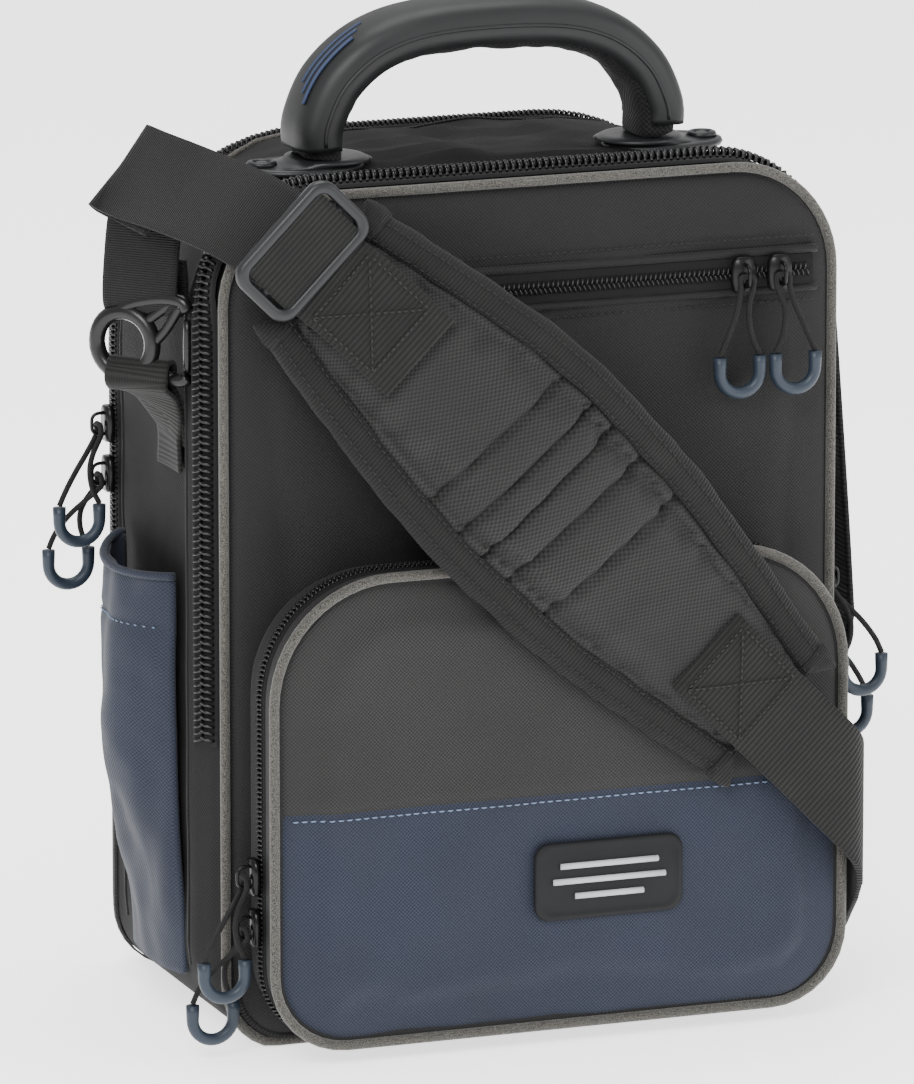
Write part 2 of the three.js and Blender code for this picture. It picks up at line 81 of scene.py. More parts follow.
# =====================================================================================
# Materials
# =====================================================================================
class Look:
    """A material, with short ways to add the nodes that it is made of."""

    def __init__(self, name, roughness, specular):
        self.material = bpy.data.materials.new(name)
        self.material.use_nodes = True
        self.nodes = self.material.node_tree.nodes
        self.links = self.material.node_tree.links
        self.shader = self.nodes["Principled BSDF"].inputs
        self.shader["Roughness"].default_value = roughness
        self.shader["Specular IOR Level"].default_value = specular
        self.places = self.nodes.new("ShaderNodeTexCoord").outputs

    def feed(self, socket, value):
        """Sets a socket to a number or a colour, or links it to another node."""
        if isinstance(value, (int, float)):
            socket.default_value = value
        elif isinstance(value, tuple):
            socket.default_value = (*value, 1)
        else:
            self.links.new(value, socket)

    def calc(self, operation, *values):
        node = self.nodes.new("ShaderNodeMath")
        node.operation = operation
        for socket, value in zip(node.inputs, values):
            self.feed(socket, value)
        return node.outputs[0]

    def mix(self, factor, dark, light):
        node = self.nodes.new("ShaderNodeMix")
        node.data_type = "RGBA"
        self.feed(node.inputs["Factor"], factor)
        self.feed(node.inputs[6], dark)
        self.feed(node.inputs[7], light)
        return node.outputs[2]

    def noise(self, vector, scale, detail=3):
        node = self.nodes.new("ShaderNodeTexNoise")
        node.inputs["Scale"].default_value = scale
        node.inputs["Detail"].default_value = detail
        self.feed(node.inputs["Vector"], vector)
        return node.outputs["Fac"]

    def uv_axes(self):
        """The two UV coordinates, in metres."""
        split = self.nodes.new("ShaderNodeSeparateXYZ")
        self.feed(split.inputs[0], self.places["UV"])
        return split.outputs[0], split.outputs[1]

    def wave(self, coordinate, pitch_mm):
        """A sine along a coordinate, one crest for each pitch."""
        return self.calc("SINE", self.calc("MULTIPLY", coordinate, 2 * math.pi / (pitch_mm * MM)))

    def color(self, value):
        self.feed(self.shader["Base Color"], value)

    def uneven_gloss(self, pattern, lowest):
        self.feed(self.shader["Roughness"], self.calc("MULTIPLY_ADD", pattern, 0.25, lowest))

    def bump(self, height, distance, strength):
        node = self.nodes.new("ShaderNodeBump")
        node.inputs["Distance"].default_value = distance
        node.inputs["Strength"].default_value = strength
        self.feed(node.inputs["Height"], height)
        self.feed(self.shader["Normal"], node.outputs["Normal"])


def woven(name, dark, light, pitch_mm=1.5, roughness=0.72, strength=0.7, sheen=0.15):
    """Plain weave: threads that pass over and under, with slow colour drift and faded patches. The raised
    threads take the light colour: a painted highlight on their crests and painted shade between them.
    """
    look = Look(name, roughness, 0.22)
    look.shader["Sheen Weight"].default_value = sheen
    look.shader["Sheen Roughness"].default_value = 0.5
    u, v = look.uv_axes()
    weave = look.calc("MULTIPLY", look.wave(u, pitch_mm), look.wave(v, pitch_mm))
    raised = look.calc("MULTIPLY_ADD", weave, 0.5, 0.5)
    drift = look.noise(look.places["Object"], 22, 4)
    speck = look.noise(look.places["UV"], 900, 2)
    # painted highlight: the light colour goes on the raised threads, scaled by the random drift
    factor = look.calc("MULTIPLY", raised, look.calc("ADD", drift, 0.35))
    look.color(look.mix(factor, dark, light))
    look.bump(look.calc("ADD", raised, look.calc("MULTIPLY", speck, 0.4)), 0.00025, strength)
    look.uneven_gloss(drift, roughness - 0.12)
    return look.material


def ribbed(name, dark, light, pitch_mm=1.9, roughness=0.8):
    """Webbing: ribs that run across the strip, with fine threads along them. The raised ribs take the
    light colour: a painted highlight on them and painted shade between them.
    """
    look = Look(name, roughness, 0.25)
    look.shader["Sheen Weight"].default_value = 0.04
    u, v = look.uv_axes()
    ribs_and_threads = look.calc("MULTIPLY_ADD", look.wave(u, 1.1), 0.22, look.wave(v, pitch_mm))
    raised = look.calc("MULTIPLY_ADD", ribs_and_threads, 0.4, 0.5)
    drift = look.noise(look.places["Object"], 60)
    # painted highlight: the light colour goes on the raised ribs, scaled by the random drift
    factor = look.calc("MULTIPLY", raised, look.calc("ADD", drift, 0.3))
    look.color(look.mix(factor, dark, light))
    look.bump(raised, 0.0004, 0.9)
    return look.material


def moulded(name, color, roughness, grain, strength, worn=None):
    """Moulded plastic, rubber or lacquer: fine grain, uneven gloss and slightly paler patches."""
    look = Look(name, roughness, 0.3)
    fine = look.noise(look.places["Object"], grain)
    slow = look.noise(look.places["Object"], 45, 4)
    look.color(look.mix(slow, color, worn or tuple(min(1, c * 1.5 + 0.01) for c in color)))
    look.uneven_gloss(slow, roughness - 0.1)
    look.bump(fine, 0.0002, strength)
    return look.material


def melange(name):
    """Grey flecked piping cloth."""
    look = Look(name, 0.85, 0.2)
    look.shader["Sheen Weight"].default_value = 0.2
    fleck = look.noise(look.places["Object"], 2400, 4)
    shades = look.nodes.new("ShaderNodeValToRGB")
    dark, light = shades.color_ramp.elements
    dark.position = 0.38
    dark.color = (0.011, 0.0105, 0.0095, 1)
    light.position = 0.64
    light.color = (0.100, 0.095, 0.083, 1)
    look.feed(shades.inputs[0], fleck)
    look.color(shades.outputs[0])
    look.bump(fleck, 0.0004, 0.7)
    return look.material


# In each woven cloth and webbing below, the second colour is the painted highlight on the raised threads
# or ribs.
BLACK = woven("black_nylon", (0.0012, 0.0012, 0.0013), (0.0125, 0.0123, 0.0123), sheen=0.05)
# Darker copy of the black nylon for the whole gusset, sides, top and base: its darker colour is painted
# shade for the bag's sides. It is also matt, with no sheen.
SHADED_SIDE_BLACK = woven(
    "side_nylon_painted_shade", (0.0010, 0.0010, 0.0011), (0.0085, 0.0084, 0.0083), 1.6, 0.82, sheen=0.0,
)
CHARCOAL = woven("charcoal_nylon", (0.0030, 0.0030, 0.0030), (0.0270, 0.0268, 0.0266), sheen=0.08)
NAVY = woven("navy_nylon", (0.0034, 0.0046, 0.0098), (0.0225, 0.0290, 0.0500), sheen=0.08)
PAD_CLOTH = woven("pad_nylon", (0.0026, 0.0026, 0.0026), (0.0225, 0.0223, 0.0220), 1.8, sheen=0.06)
LINING = woven("lining_cloth", (0.004, 0.004, 0.0045), (0.018, 0.018, 0.020), 0.9, 0.8, 0.4)
TAPE = woven("zip_tape", (0.0008, 0.0008, 0.0009), (0.0060, 0.0060, 0.0062), 0.8, 0.85, 0.5, 0.04)
WEB = ribbed("webbing_ribbed", (0.0008, 0.0008, 0.0008), (0.0115, 0.0112, 0.0105))
PLAIN_WEB = ribbed("webbing_plain", (0.0012, 0.0012, 0.0012), (0.0080, 0.0079, 0.0076), 0.9)
BINDING = ribbed("binding_ribbed", (0.0008, 0.0008, 0.0008), (0.0095, 0.0093, 0.0090), 1.4)
GRIP_CLOTH = woven(
    "handle_cloth", (0.0010, 0.0010, 0.0010), (0.0140, 0.0140, 0.0140), 2.0, 0.75, 0.9, 0.05,
)
PIPING = melange("piping_melange")
TEETH = moulded("coil_nylon", (0.004, 0.004, 0.004), 0.25, 600, 0.05, (0.012, 0.012, 0.012))
PLASTIC = moulded("buckle_plastic", (0.0075, 0.0078, 0.0085), 0.36, 700, 0.1, (0.014, 0.0145, 0.016))
HOOK_PLASTIC = moulded("hook_plastic", (0.003, 0.003, 0.0034), 0.26, 700, 0.06, (0.007, 0.007, 0.007))
RUBBER = moulded("handle_rubber", (0.0050, 0.0052, 0.0056), 0.46, 900, 0.2, (0.0090, 0.0094, 0.0100))
SLATE = moulded("slate_rubber", (0.011, 0.017, 0.027), 0.42, 900, 0.15, (0.020, 0.029, 0.042))
LACQUER = moulded("slider_lacquer", (0.006, 0.006, 0.006), 0.26, 500, 0.05, (0.016, 0.016, 0.017))
LACQUER.node_tree.nodes["Principled BSDF"].inputs["Metallic"].default_value = 0.6
CORD = ribbed("cord_braid", (0.001, 0.001, 0.001), (0.009, 0.009, 0.0085), 1.2)
BLUE_THREAD = moulded("blue_thread", (0.085, 0.115, 0.175), 0.7, 1500, 0.3)
DARK_THREAD = moulded("dark_thread", (0.0012, 0.0012, 0.0012), 0.6, 1500, 0.3)
GREY_THREAD = moulded("grey_thread", (0.006, 0.006, 0.0055), 0.6, 1500, 0.3)
STRIPE = moulded("stripe_ink", (0.012, 0.022, 0.055), 0.5, 800, 0.05)
PATCH = moulded("patch_rubber", (0.0010, 0.0012, 0.0018), 0.7, 900, 0.12, (0.002, 0.0022, 0.003))
PATCH_BARS = moulded("patch_bars", (0.30, 0.31, 0.32), 0.5, 900, 0.1)
BOARD = moulded("stiffener_board", (0.02, 0.02, 0.02), 0.7, 300, 0.2)


# =====================================================================================
# Mesh helpers
# =====================================================================================
def make_object(name, points_mm, faces, materials):
    mesh = bpy.data.meshes.new(name)
    mesh.from_pydata([Vector(p) * MM for p in points_mm], [], faces)
    mesh.update()
    for material in materials:
        mesh.materials.append(material)
    obj = bpy.data.objects.new(name, mesh)
    bpy.context.scene.collection.objects.link(obj)
    mesh.polygons.foreach_set("use_smooth", [True] * len(mesh.polygons))
    return obj


def fix_normals(obj):
    work = bmesh.new()
    work.from_mesh(obj.data)
    bmesh.ops.recalc_face_normals(work, faces=work.faces)
    work.to_mesh(obj.data)
    work.free()


def grid(name, rows, materials, closed_across=True, closed_along=False, caps=False):
    """A skin over rows of equal point count."""
    count = len(rows[0])
    points = [p for row in rows for p in row]
    faces = []
    for r in range(len(rows) if closed_along else len(rows) - 1):
        low, high = r * count, (r + 1) % len(rows) * count
        for i in range(count if closed_across else count - 1):
            j = (i + 1) % count
            faces.append((low + i, low + j, high + j, high + i))
    if caps:
        faces.append(tuple(reversed(range(count))))
        faces.append(tuple(range((len(rows) - 1) * count, len(rows) * count)))
    obj = make_object(name, points, faces, materials)
    fix_normals(obj)
    return obj


def box_uv(obj):
    """UVs in metres, each face seen along the axis that it faces most."""
    layer = obj.data.uv_layers.get("UVMap") or obj.data.uv_layers.new(name="UVMap")
    axes = {0: (1, 2), 1: (0, 2), 2: (0, 1)}
    for face in obj.data.polygons:
        normal = [abs(c) for c in face.normal]
        u, v = axes[normal.index(max(normal))]
        for loop in face.loop_indices:
            place = obj.data.vertices[obj.data.loops[loop].vertex_index].co
            layer.data[loop].uv = (place[u], place[v])


def strip_uv(obj, rows):
    """UVs in metres for a strip made with grid(): across the rows, and along them."""
    count = len(rows[0])
    along = [0.0]
    for before, after in zip(rows, rows[1:]):
        along.append(along[-1] + (Vector(after[0]) - Vector(before[0])).length * MM)
    across = [0.0]
    for before, after in zip(rows[0], rows[0][1:]):
        across.append(across[-1] + (Vector(after) - Vector(before)).length * MM)
    layer = obj.data.uv_layers.new(name="UVMap")
    for face in obj.data.polygons:
        for loop in face.loop_indices:
            index = obj.data.loops[loop].vertex_index
            layer.data[loop].uv = (across[index % count], along[index // count])


def apply_modifiers(obj):
    depsgraph = bpy.context.evaluated_depsgraph_get()
    mesh = bpy.data.meshes.new_from_object(obj.evaluated_get(depsgraph))
    obj.modifiers.clear()
    obj.data = mesh


def subdivide(obj, levels=1):
    modifier = obj.modifiers.new("subdivide", "SUBSURF")
    modifier.levels = levels
    modifier.render_levels = levels
    apply_modifiers(obj)


def thicken(obj, thickness_mm, inner_slot=0):
    modifier = obj.modifiers.new("thicken", "SOLIDIFY")
    modifier.thickness = thickness_mm * MM
    modifier.offset = -1
    modifier.material_offset = inner_slot
    apply_modifiers(obj)


def push(obj, amount):
    """Moves each point along its normal by amount(point in mm) millimetres."""
    moves = [(v.index, v.normal.copy(), amount(v.co / MM)) for v in obj.data.vertices]
    for index, normal, distance in moves:
        obj.data.vertices[index].co += normal * distance * MM
    obj.data.update()


def keep_above(obj, low_mm=0.2):
    """Flattens what would go below the floor."""
    for vertex in obj.data.vertices:
        vertex.co.z = max(vertex.co.z, low_mm * MM)


def inflated(source, voxel_mm, pressure, cap_mm):
    """A remeshed copy of a closed shape, swollen by cloth simulation."""
    soft = bpy.data.objects.new(f"{source.name}_soft", source.data.copy())
    bpy.context.scene.collection.objects.link(soft)
    remesh = soft.modifiers.new("remesh", "REMESH")
    remesh.mode = "VOXEL"
    remesh.voxel_size = voxel_mm * MM
    apply_modifiers(soft)
    before = [v.co.copy() for v in soft.data.vertices]
    cloth = soft.modifiers.new("cloth", "CLOTH")
    cloth.settings.quality = 5
    cloth.settings.use_pressure = True
    cloth.settings.uniform_pressure_force = pressure
    cloth.settings.effector_weights.gravity = 0
    cloth.point_cache.frame_start = 1
    cloth.point_cache.frame_end = CLOTH_FRAMES
    for number in range(1, CLOTH_FRAMES + 1):
        bpy.context.scene.frame_set(number)
    apply_modifiers(soft)
    bpy.context.scene.frame_set(1)
    for vertex, start in zip(soft.data.vertices, before):
        move = vertex.co - start
        if move.length > cap_mm * MM:
            vertex.co = start + move.normalized() * cap_mm * MM
    soft.data.update()
    bpy.data.objects.remove(source)
    return soft


def settle(obj, soft, weight, most_mm):
    """Moves a panel's face forward onto the swollen copy, by weight(point), then removes the copy."""
    if soft is None:
        return
    bpy.context.view_layer.update()
    for vertex in obj.data.vertices:
        share = weight(vertex.co / MM)
        if share <= 0:
            continue
        start = vertex.co - Vector((0, 0.03, 0))
        hit, spot, _, _ = soft.ray_cast(start, Vector((0, 1, 0)), distance=0.06)
        if hit:
            forward = max(0.0, min(most_mm * MM, vertex.co.y - spot.y))
            vertex.co.y -= forward * share
    obj.data.update()
    bpy.data.objects.remove(soft)


def wrinkle(point, size, height, seed=0.0):
    """Smooth noise, height mm high, with features about size mm across."""
    return noise.noise(Vector(point) / size + Vector((seed, seed, seed))) * height


def ramp(value, low, high):
    """0 at low and 1 at high, with an S curve between."""
    share = max(0.0, min(1.0, (value - low) / (high - low)))
    return share * share * (3 - 2 * share)


def sweep(name, line, radius, materials, sides=10, closed=False, flat=1.0, up=None):
    """Round or flattened tube along a line of points."""
    points = [Vector(p) for p in line]
    rows = []
    last = len(points) - 1
    side = None
    for i, here in enumerate(points):
        before = points[i - 1] if i or closed else here
        after = points[(i + 1) % len(points)] if i < last or closed else here
        along = (after - before).normalized()
        if up:
            reference = Vector(up)
        elif side:
            reference = side
        else:
            reference = Vector((0, 0, 1) if abs(along.z) < 0.9 else (0, 1, 0))
        side = (reference - along * reference.dot(along)).normalized()
        other = along.cross(side)
        width = radius(i / last) if callable(radius) else radius
        rows.append([
            tuple(here + side * math.cos(2 * math.pi * k / sides) * width
                  + other * math.sin(2 * math.pi * k / sides) * width * flat)
            for k in range(sides)
        ])
    obj = grid(name, rows, materials, closed_along=closed, caps=not closed)
    strip_uv(obj, rows)
    return obj


def smooth_line(points, count):
    """Catmull-Rom line through the points, count points evenly by parameter."""
    control = [Vector(p) for p in points]
    control = [2 * control[0] - control[1], *control, 2 * control[-1] - control[-2]]
    spans = len(control) - 3
    line = []
    for step in range(count):
        t = step / (count - 1) * spans
        k = min(int(t), spans - 1)
        t -= k
        a, b, c, d = control[k:k + 4]
        line.append(0.5 * (2 * b + (c - a) * t + (2 * a - 5 * b + 4 * c - d) * t * t
                           + (3 * b - a - 3 * c + d) * t * t * t))
    return line


def resample(line, spacing):
    """Points at even spacing along a line, in mm as the line is."""
    points = [Vector(p) for p in line]
    result = [points[0].copy()]
    left = spacing
    for before, after in zip(points, points[1:]):
        length = (after - before).length
        while length > 0 and left <= length:
            before = before + (after - before).normalized() * left
            result.append(before.copy())
            length -= left
            left = spacing
        left -= length
    return result


def outline(half, low, high, top_radius, low_radius):
    """Rounded rectangle in XZ from the bottom middle, anticlockwise seen from the front."""
    top_radius = max(2, min(top_radius, half - 1))
    low_radius = max(2, min(low_radius, half - 1))
    points = []

    def straight(start, end, steps):
        for k in range(steps):
            points.append(tuple(Vector(start).lerp(Vector(end), k / steps)))

    def arc(x, z, radius, start, steps):
        for k in range(steps):
            angle = math.radians(start + 90 * k / steps)
            points.append((x + radius * math.cos(angle), z + radius * math.sin(angle)))

    straight((0, low), (half - low_radius, low), 12)
    arc(half - low_radius, low + low_radius, low_radius, -90, 8)
    straight((half, low + low_radius), (half, high - top_radius), 26)
    arc(half - top_radius, high - top_radius, top_radius, 0, 12)
    straight((half - top_radius, high), (top_radius - half, high), 20)
    arc(top_radius - half, high - top_radius, top_radius, 90, 12)
    straight((-half, high - top_radius), (-half, low + low_radius), 26)
    arc(low_radius - half, low + low_radius, low_radius, 180, 8)
    straight((low_radius - half, low), (0, low), 12)
    return points


# The corners of a panel's face, counted round an outline() ring of RING points.
LOW_RIGHT, HIGH_RIGHT, HIGH_LEFT, LOW_LEFT, RING = 16, 52, 84, 120, 136
FACE_COLUMNS = HIGH_LEFT - HIGH_RIGHT
FACE_ROWS = HIGH_RIGHT - LOW_RIGHT


def panel(name, rows, materials):
    """Rings for the rolled edge, then a face of quads that fills the last ring."""
    ring = [Vector(p) for p in rows[-1]]
    bottom = [(LOW_LEFT + k) % RING for k in range(FACE_COLUMNS + 1)]
    top = [HIGH_LEFT - k for k in range(FACE_COLUMNS + 1)]
    left = [LOW_LEFT - k for k in range(FACE_ROWS + 1)]
    right = [LOW_RIGHT + k for k in range(FACE_ROWS + 1)]
    points = [p for row in rows for p in row]
    base = (len(rows) - 1) * RING
    index = {}
    for j in range(FACE_ROWS + 1):
        for i in range(FACE_COLUMNS + 1):
            u, v = i / FACE_COLUMNS, j / FACE_ROWS
            if j in (0, FACE_ROWS):
                index[i, j] = base + (top if j else bottom)[i]
                continue
            if i in (0, FACE_COLUMNS):
                index[i, j] = base + (right if i else left)[j]
                continue
            spot = ring[bottom[i]] * (1 - v) + ring[top[i]] * v
            spot = spot + ring[left[j]] * (1 - u) + ring[right[j]] * u
            spot -= ring[bottom[0]] * (1 - u) * (1 - v) + ring[bottom[-1]] * u * (1 - v)
            spot -= ring[top[0]] * (1 - u) * v + ring[top[-1]] * u * v
            index[i, j] = len(points)
            points.append(spot)
    faces = []
    for r in range(len(rows) - 1):
        for i in range(RING):
            a, b = r * RING + i, r * RING + (i + 1) % RING
            faces.append((a, b, b + RING, a + RING))
    for j in range(FACE_ROWS):
        for i in range(FACE_COLUMNS):
            faces.append((index[i, j], index[i + 1, j], index[i + 1, j + 1], index[i, j + 1]))
    obj = make_object(name, points, faces, materials)
    fix_normals(obj)
    return obj


def bag_ring(y, inset):
    """The bag's outline at a depth. Its top corners are rounder towards the back."""
    share = max(0, min(1, (y - SHELL_FRONT) / (SHELL_BACK - SHELL_FRONT)))
    top = TOP_RADIUS_FRONT + (TOP_RADIUS_BACK - TOP_RADIUS_FRONT) * share
    flat = outline(BAG_HALF - inset, inset, BAG_HIGH - inset, top - inset, LOW_RADIUS - inset)
    return [(x, y, z) for x, z in flat]


def pocket_ring(y, inset):
    flat = outline(
        POCKET_HALF - inset, POCKET_LOW + inset, POCKET_HIGH - inset,
        POCKET_TOP_RADIUS - inset, POCKET_LOW_RADIUS - inset,
    )
    return [(x, y, z) for x, z in flat]


def merge(name, objects):
    """Joins meshes into the first one's object, keeping each one's materials."""
    mesh = bpy.data.meshes.new(name)
    work = bmesh.new()
    slots = []
    for obj in objects:
        start = len(work.faces)
        work.from_mesh(obj.data)
        work.faces.ensure_lookup_table()
        shift = len(slots)
        for face in work.faces[start:]:
            face.material_index += shift
        slots += list(obj.data.materials)
        bpy.data.objects.remove(obj)
    work.to_mesh(mesh)
    work.free()
    for material in slots:
        mesh.materials.append(material)
    merged = bpy.data.objects.new(name, mesh)
    bpy.context.scene.collection.objects.link(merged)
    return merged


def stand_for(nodes):
    """Says which CAD nodes a piece replaces, by hiding them."""
    if nodes:
        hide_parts(*nodes)


def place(obj, body, nodes=(), slot=None):
    """The last step for a piece that rides on one body."""
    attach(obj, body)
    stand_for(nodes)


def fold(obj, nodes=()):
    """The last step for cloth that crosses the front door's fold."""
    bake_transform(obj)
    stand_for(nodes)


def add_rod(points, faces, rings):
    """Adds a short rod to a mesh in the making: rings of equal point count, closed at both ends."""
    base, sides, last = len(points), len(rings[0]), len(rings) - 1
    for ring in rings:
        points.extend(ring)
    for row in range(last):
        for k in range(sides):
            a = base + row * sides + k
            b = base + row * sides + (k + 1) % sides
            faces.append((a, b, b + sides, a + sides))
    faces.append(tuple(base + k for k in reversed(range(sides))))
    faces.append(tuple(base + last * sides + k for k in range(sides)))


STITCH_SIDES = 6
# Rings of a stitch: (share of its length, share of its radius, rise off the cloth in mm).
STITCH_RINGS = ((0, 0.35, -0.1), (0.25, 1, 0.2), (0.75, 1, 0.2), (1, 0.35, -0.1))


def stitches(name, line, outward, material, pitch=3.2, radius=0.32, lift=0.15):
    """A row of short stitches lying along a line."""
    places = resample(line, pitch)
    points, faces = [], []
    out = Vector(outward).normalized()
    for before, after in zip(places, places[1:]):
        along = (after - before).normalized()
        side = along.cross(out).normalized()
        start = before + along * pitch * 0.14
        end = after - along * pitch * 0.14
        rings = []
        for share, swell, rise in STITCH_RINGS:
            centre = start.lerp(end, share) + out * (lift + rise)
            ring = []
            for k in range(STITCH_SIDES):
                angle = k * math.pi / 3
                ring.append(centre + (side * math.cos(angle) + out * math.sin(angle)) * radius * swell)
            rings.append(ring)
        add_rod(points, faces, rings)
    obj = make_object(name, points, faces, [material])
    fix_normals(obj)
    return obj


def coil_teeth(name, line, normals, width, pitch):
    """Two rows of bent coil teeth along a zip's line, leaning like a real coil."""
    places = resample(line, pitch)
    source = [Vector(p) for p in line]
    points, faces = [], []
    profile = ((-0.10, 0.15), (0.10, 0.95), (0.55, 1.0), (1.0, 0.1))
    sides = 5
    rise = width * 0.24
    for here, following in zip(places, places[1:]):
        nearest = min(range(len(source)), key=lambda k: (source[k] - here).length_squared)
        out = Vector(normals[nearest]).normalized()
        along = (following - here).normalized()
        side = along.cross(out).normalized()
        for hand in (-1, 1):
            middle = here + along * (pitch * 0.5 if hand > 0 else 0)
            rings = []
            for across, height in profile:
                centre = (middle + side * hand * across * width / 2
                          + out * height * rise + along * across * pitch * 0.45)
                ring = []
                for k in range(sides):
                    angle = k * 2 * math.pi / sides
                    spread = along * math.cos(angle) + out * math.sin(angle)
                    ring.append(centre + spread * pitch * 0.24)
                rings.append(ring)
            add_rod(points, faces, rings)
    obj = make_object(name, points, faces, [TEETH])
    fix_normals(obj)
    return obj


def ring_normals(ring):
    """Outward directions in XZ for a ring of points."""
    count = len(ring)
    result = []
    for i in range(count):
        before, after = Vector(ring[i - 1]), Vector(ring[(i + 1) % count])
        along = (after - before).normalized()
        result.append((along.z, 0, -along.x))
    return result


def cut(ring, keep):
    """The indices of a ring that pass keep(point), as one unbroken run."""
    count = len(ring)
    good = [keep(p) for p in ring]
    start = next(i for i in range(count) if good[i] and not good[i - 1])
    run = []
    while good[(start + len(run)) % count] and len(run) < count:
        run.append((start + len(run)) % count)
    return run


def band(name, ring_at, low_y, high_y, raised, material):
    """Flat tape all round the bag or a pocket, raised off it, between two depths."""
    edges = ((low_y, 0.1), (low_y + 0.6, raised), (high_y - 0.6, raised), (high_y, 0.1))
    rings = [ring_at(y, -height) for y, height in edges]
    obj = grid(name, list(zip(*rings)), [material], closed_across=False, closed_along=True)
    box_uv(obj)
    return obj


def rounded_rectangle(half_x, half_z, radius):
    """Points round a rectangle with round corners, seven to a corner."""
    loop = []
    for x_side, z_side, start in ((1, 1, 0), (-1, 1, 90), (-1, -1, 180), (1, -1, 270)):
        for k in range(7):
            angle = math.radians(start + 15 * k)
            loop.append((x_side * (half_x - radius) + radius * math.cos(angle),
                         z_side * (half_z - radius) + radius * math.sin(angle)))
    return loop


def drop_onto(obj, target, direction, lift):
    """Moves each stitch of a row along direction until it lies on target's surface."""
    bpy.context.evaluated_depsgraph_get().update()
    way = Vector(direction)
    verts = obj.data.vertices
    stitch_points = STITCH_SIDES * len(STITCH_RINGS)
    for start in range(0, len(verts), stitch_points):
        stitch = verts[start:start + stitch_points]
        centre = sum((v.co for v in stitch), Vector()) / len(stitch)
        hit, spot, _, _ = target.ray_cast(centre - way * 0.03, way, distance=0.08)
        if hit:
            move = (spot - centre).dot(way) - lift * MM
            for v in stitch:
                v.co += way * move
    obj.data.update()


def lie_on(line, outward, target, lift):
    """Moves each point of a line along its outward direction onto target's surface."""
    bpy.context.view_layer.update()
    result = []
    for point, out in zip(line, outward):
        point, out = Vector(point), Vector(out)
        hit, spot, _, _ = target.ray_cast((point + out * 12) * MM, -out, distance=0.03)
        result.append(spot / MM + out * lift if hit else point)
    return result


# =====================================================================================
# Camera, floor and light
# =====================================================================================
CAMERA_AZIMUTH = math.radians(-20.5)
CAMERA_ELEVATION = math.radians(12.85)
CAMERA_DISTANCE = 4.0
CAMERA_AIM = Vector((-0.0089, 0, 0.1792))
CAMERA_LENS = 341.7
LIGHT_AIM = Vector((0, 0, 0.18))
FLOOR_HALF = 6000
FLOOR_Z = -0.5


def look_along(obj, direction):
    obj.rotation_euler = direction.to_track_quat("-Z", "Y").to_euler()


def add_camera():
    back = Vector((
        math.sin(CAMERA_AZIMUTH) * math.cos(CAMERA_ELEVATION),
        -math.cos(CAMERA_AZIMUTH) * math.cos(CAMERA_ELEVATION),
        math.sin(CAMERA_ELEVATION),
    ))
    data = bpy.data.cameras.new("camera")
    data.sensor_fit = "VERTICAL"
    data.sensor_height = 36
    data.lens = CAMERA_LENS
    data.clip_end = 50
    camera = bpy.data.objects.new("camera", data)
    bpy.context.scene.collection.objects.link(camera)
    camera.location = CAMERA_AIM + back * CAMERA_DISTANCE
    look_along(camera, -back)
    bpy.context.scene.camera = camera


def add_floor():
    """A pale floor that glows a little, so that it stays pale under soft light."""
    paint = moulded("floor_paint", (0.90, 0.90, 0.90), 0.9, 20, 0.0, (0.92, 0.92, 0.92))
    glow = paint.node_tree.nodes["Principled BSDF"].inputs
    glow["Emission Color"].default_value = (1, 1, 1, 1)
    glow["Emission Strength"].default_value = 1.7
    corners = [(x * FLOOR_HALF, y * FLOOR_HALF, FLOOR_Z) for x, y in ((-1, -1), (1, -1), (1, 1), (-1, 1))]
    make_object("floor", corners, [(0, 1, 2, 3)], [paint])


def add_lights():
    world = bpy.data.worlds.new("world")
    world.use_nodes = True
    background = world.node_tree.nodes["Background"].inputs
    background["Color"].default_value = (1, 1, 1, 1)
    background["Strength"].default_value = 1.0
    bpy.context.scene.world = world
    for name, spot, size, power in (
        ("key_light", (-1.3, -1.9, 1.9), 1.2, 75),
        ("fill_light", (1.8, -1.6, 1.0), 1.6, 26),
        ("top_light", (0.1, 0.5, 2.4), 1.4, 40),
    ):
        light = bpy.data.lights.new(name, "AREA")
        light.size = size
        light.energy = power
        lamp = bpy.data.objects.new(name, light)
        bpy.context.scene.collection.objects.link(lamp)
        lamp.location = spot
        look_along(lamp, LIGHT_AIM - lamp.location)


add_camera()
add_floor()
add_lights()


# =====================================================================================
# Bag shell: gusset, top, base, back
# =====================================================================================
def side_share(p):
    """1 on the bag's left and right sides, 0 on its top and base."""
    return ramp(abs(p[0]), 112, 124) * ramp(p[2], 14, 34) * (1 - ramp(p[2], 276, 300))


def shell_softness(p):
    """How far the shell's cloth swells and wrinkles, in millimetres."""
    inside = ramp(p.y, -30, -5) * (1 - ramp(p.y, 52, 66))
    top = ramp(p.z, 318, 331)
    bulge = inside * side_share(p) * 2.2 + inside * top * 2.0 * (1 - ramp(abs(p.x), 50, 105))
    behind_zip = side_share(p) * 2.6 * math.exp(-((p.y + 26) / 7) ** 2)
    folds = wrinkle(p, 34, 2.8) + wrinkle(p, 13, 0.9, 4)
    pleat = top * 1.1 * math.sin(p.y * 0.33 + wrinkle(p, 40, 3.0, 2)) * (1 - ramp(abs(p.x), 30, 60))
    return bulge + behind_zip + inside * ((0.5 + 0.9 * top) * folds + pleat) * ramp(p.z, 4, 20)


def line_on_shell(shell, y, keep, lift):
    """The part of the bag's outline at a depth that passes keep(point), laid on the shell."""
    ring = bag_ring(y, 0)
    outward = ring_normals(ring)
    run = cut(ring, keep)
    return lie_on([ring[i] for i in run], [outward[i] for i in run], shell, lift)


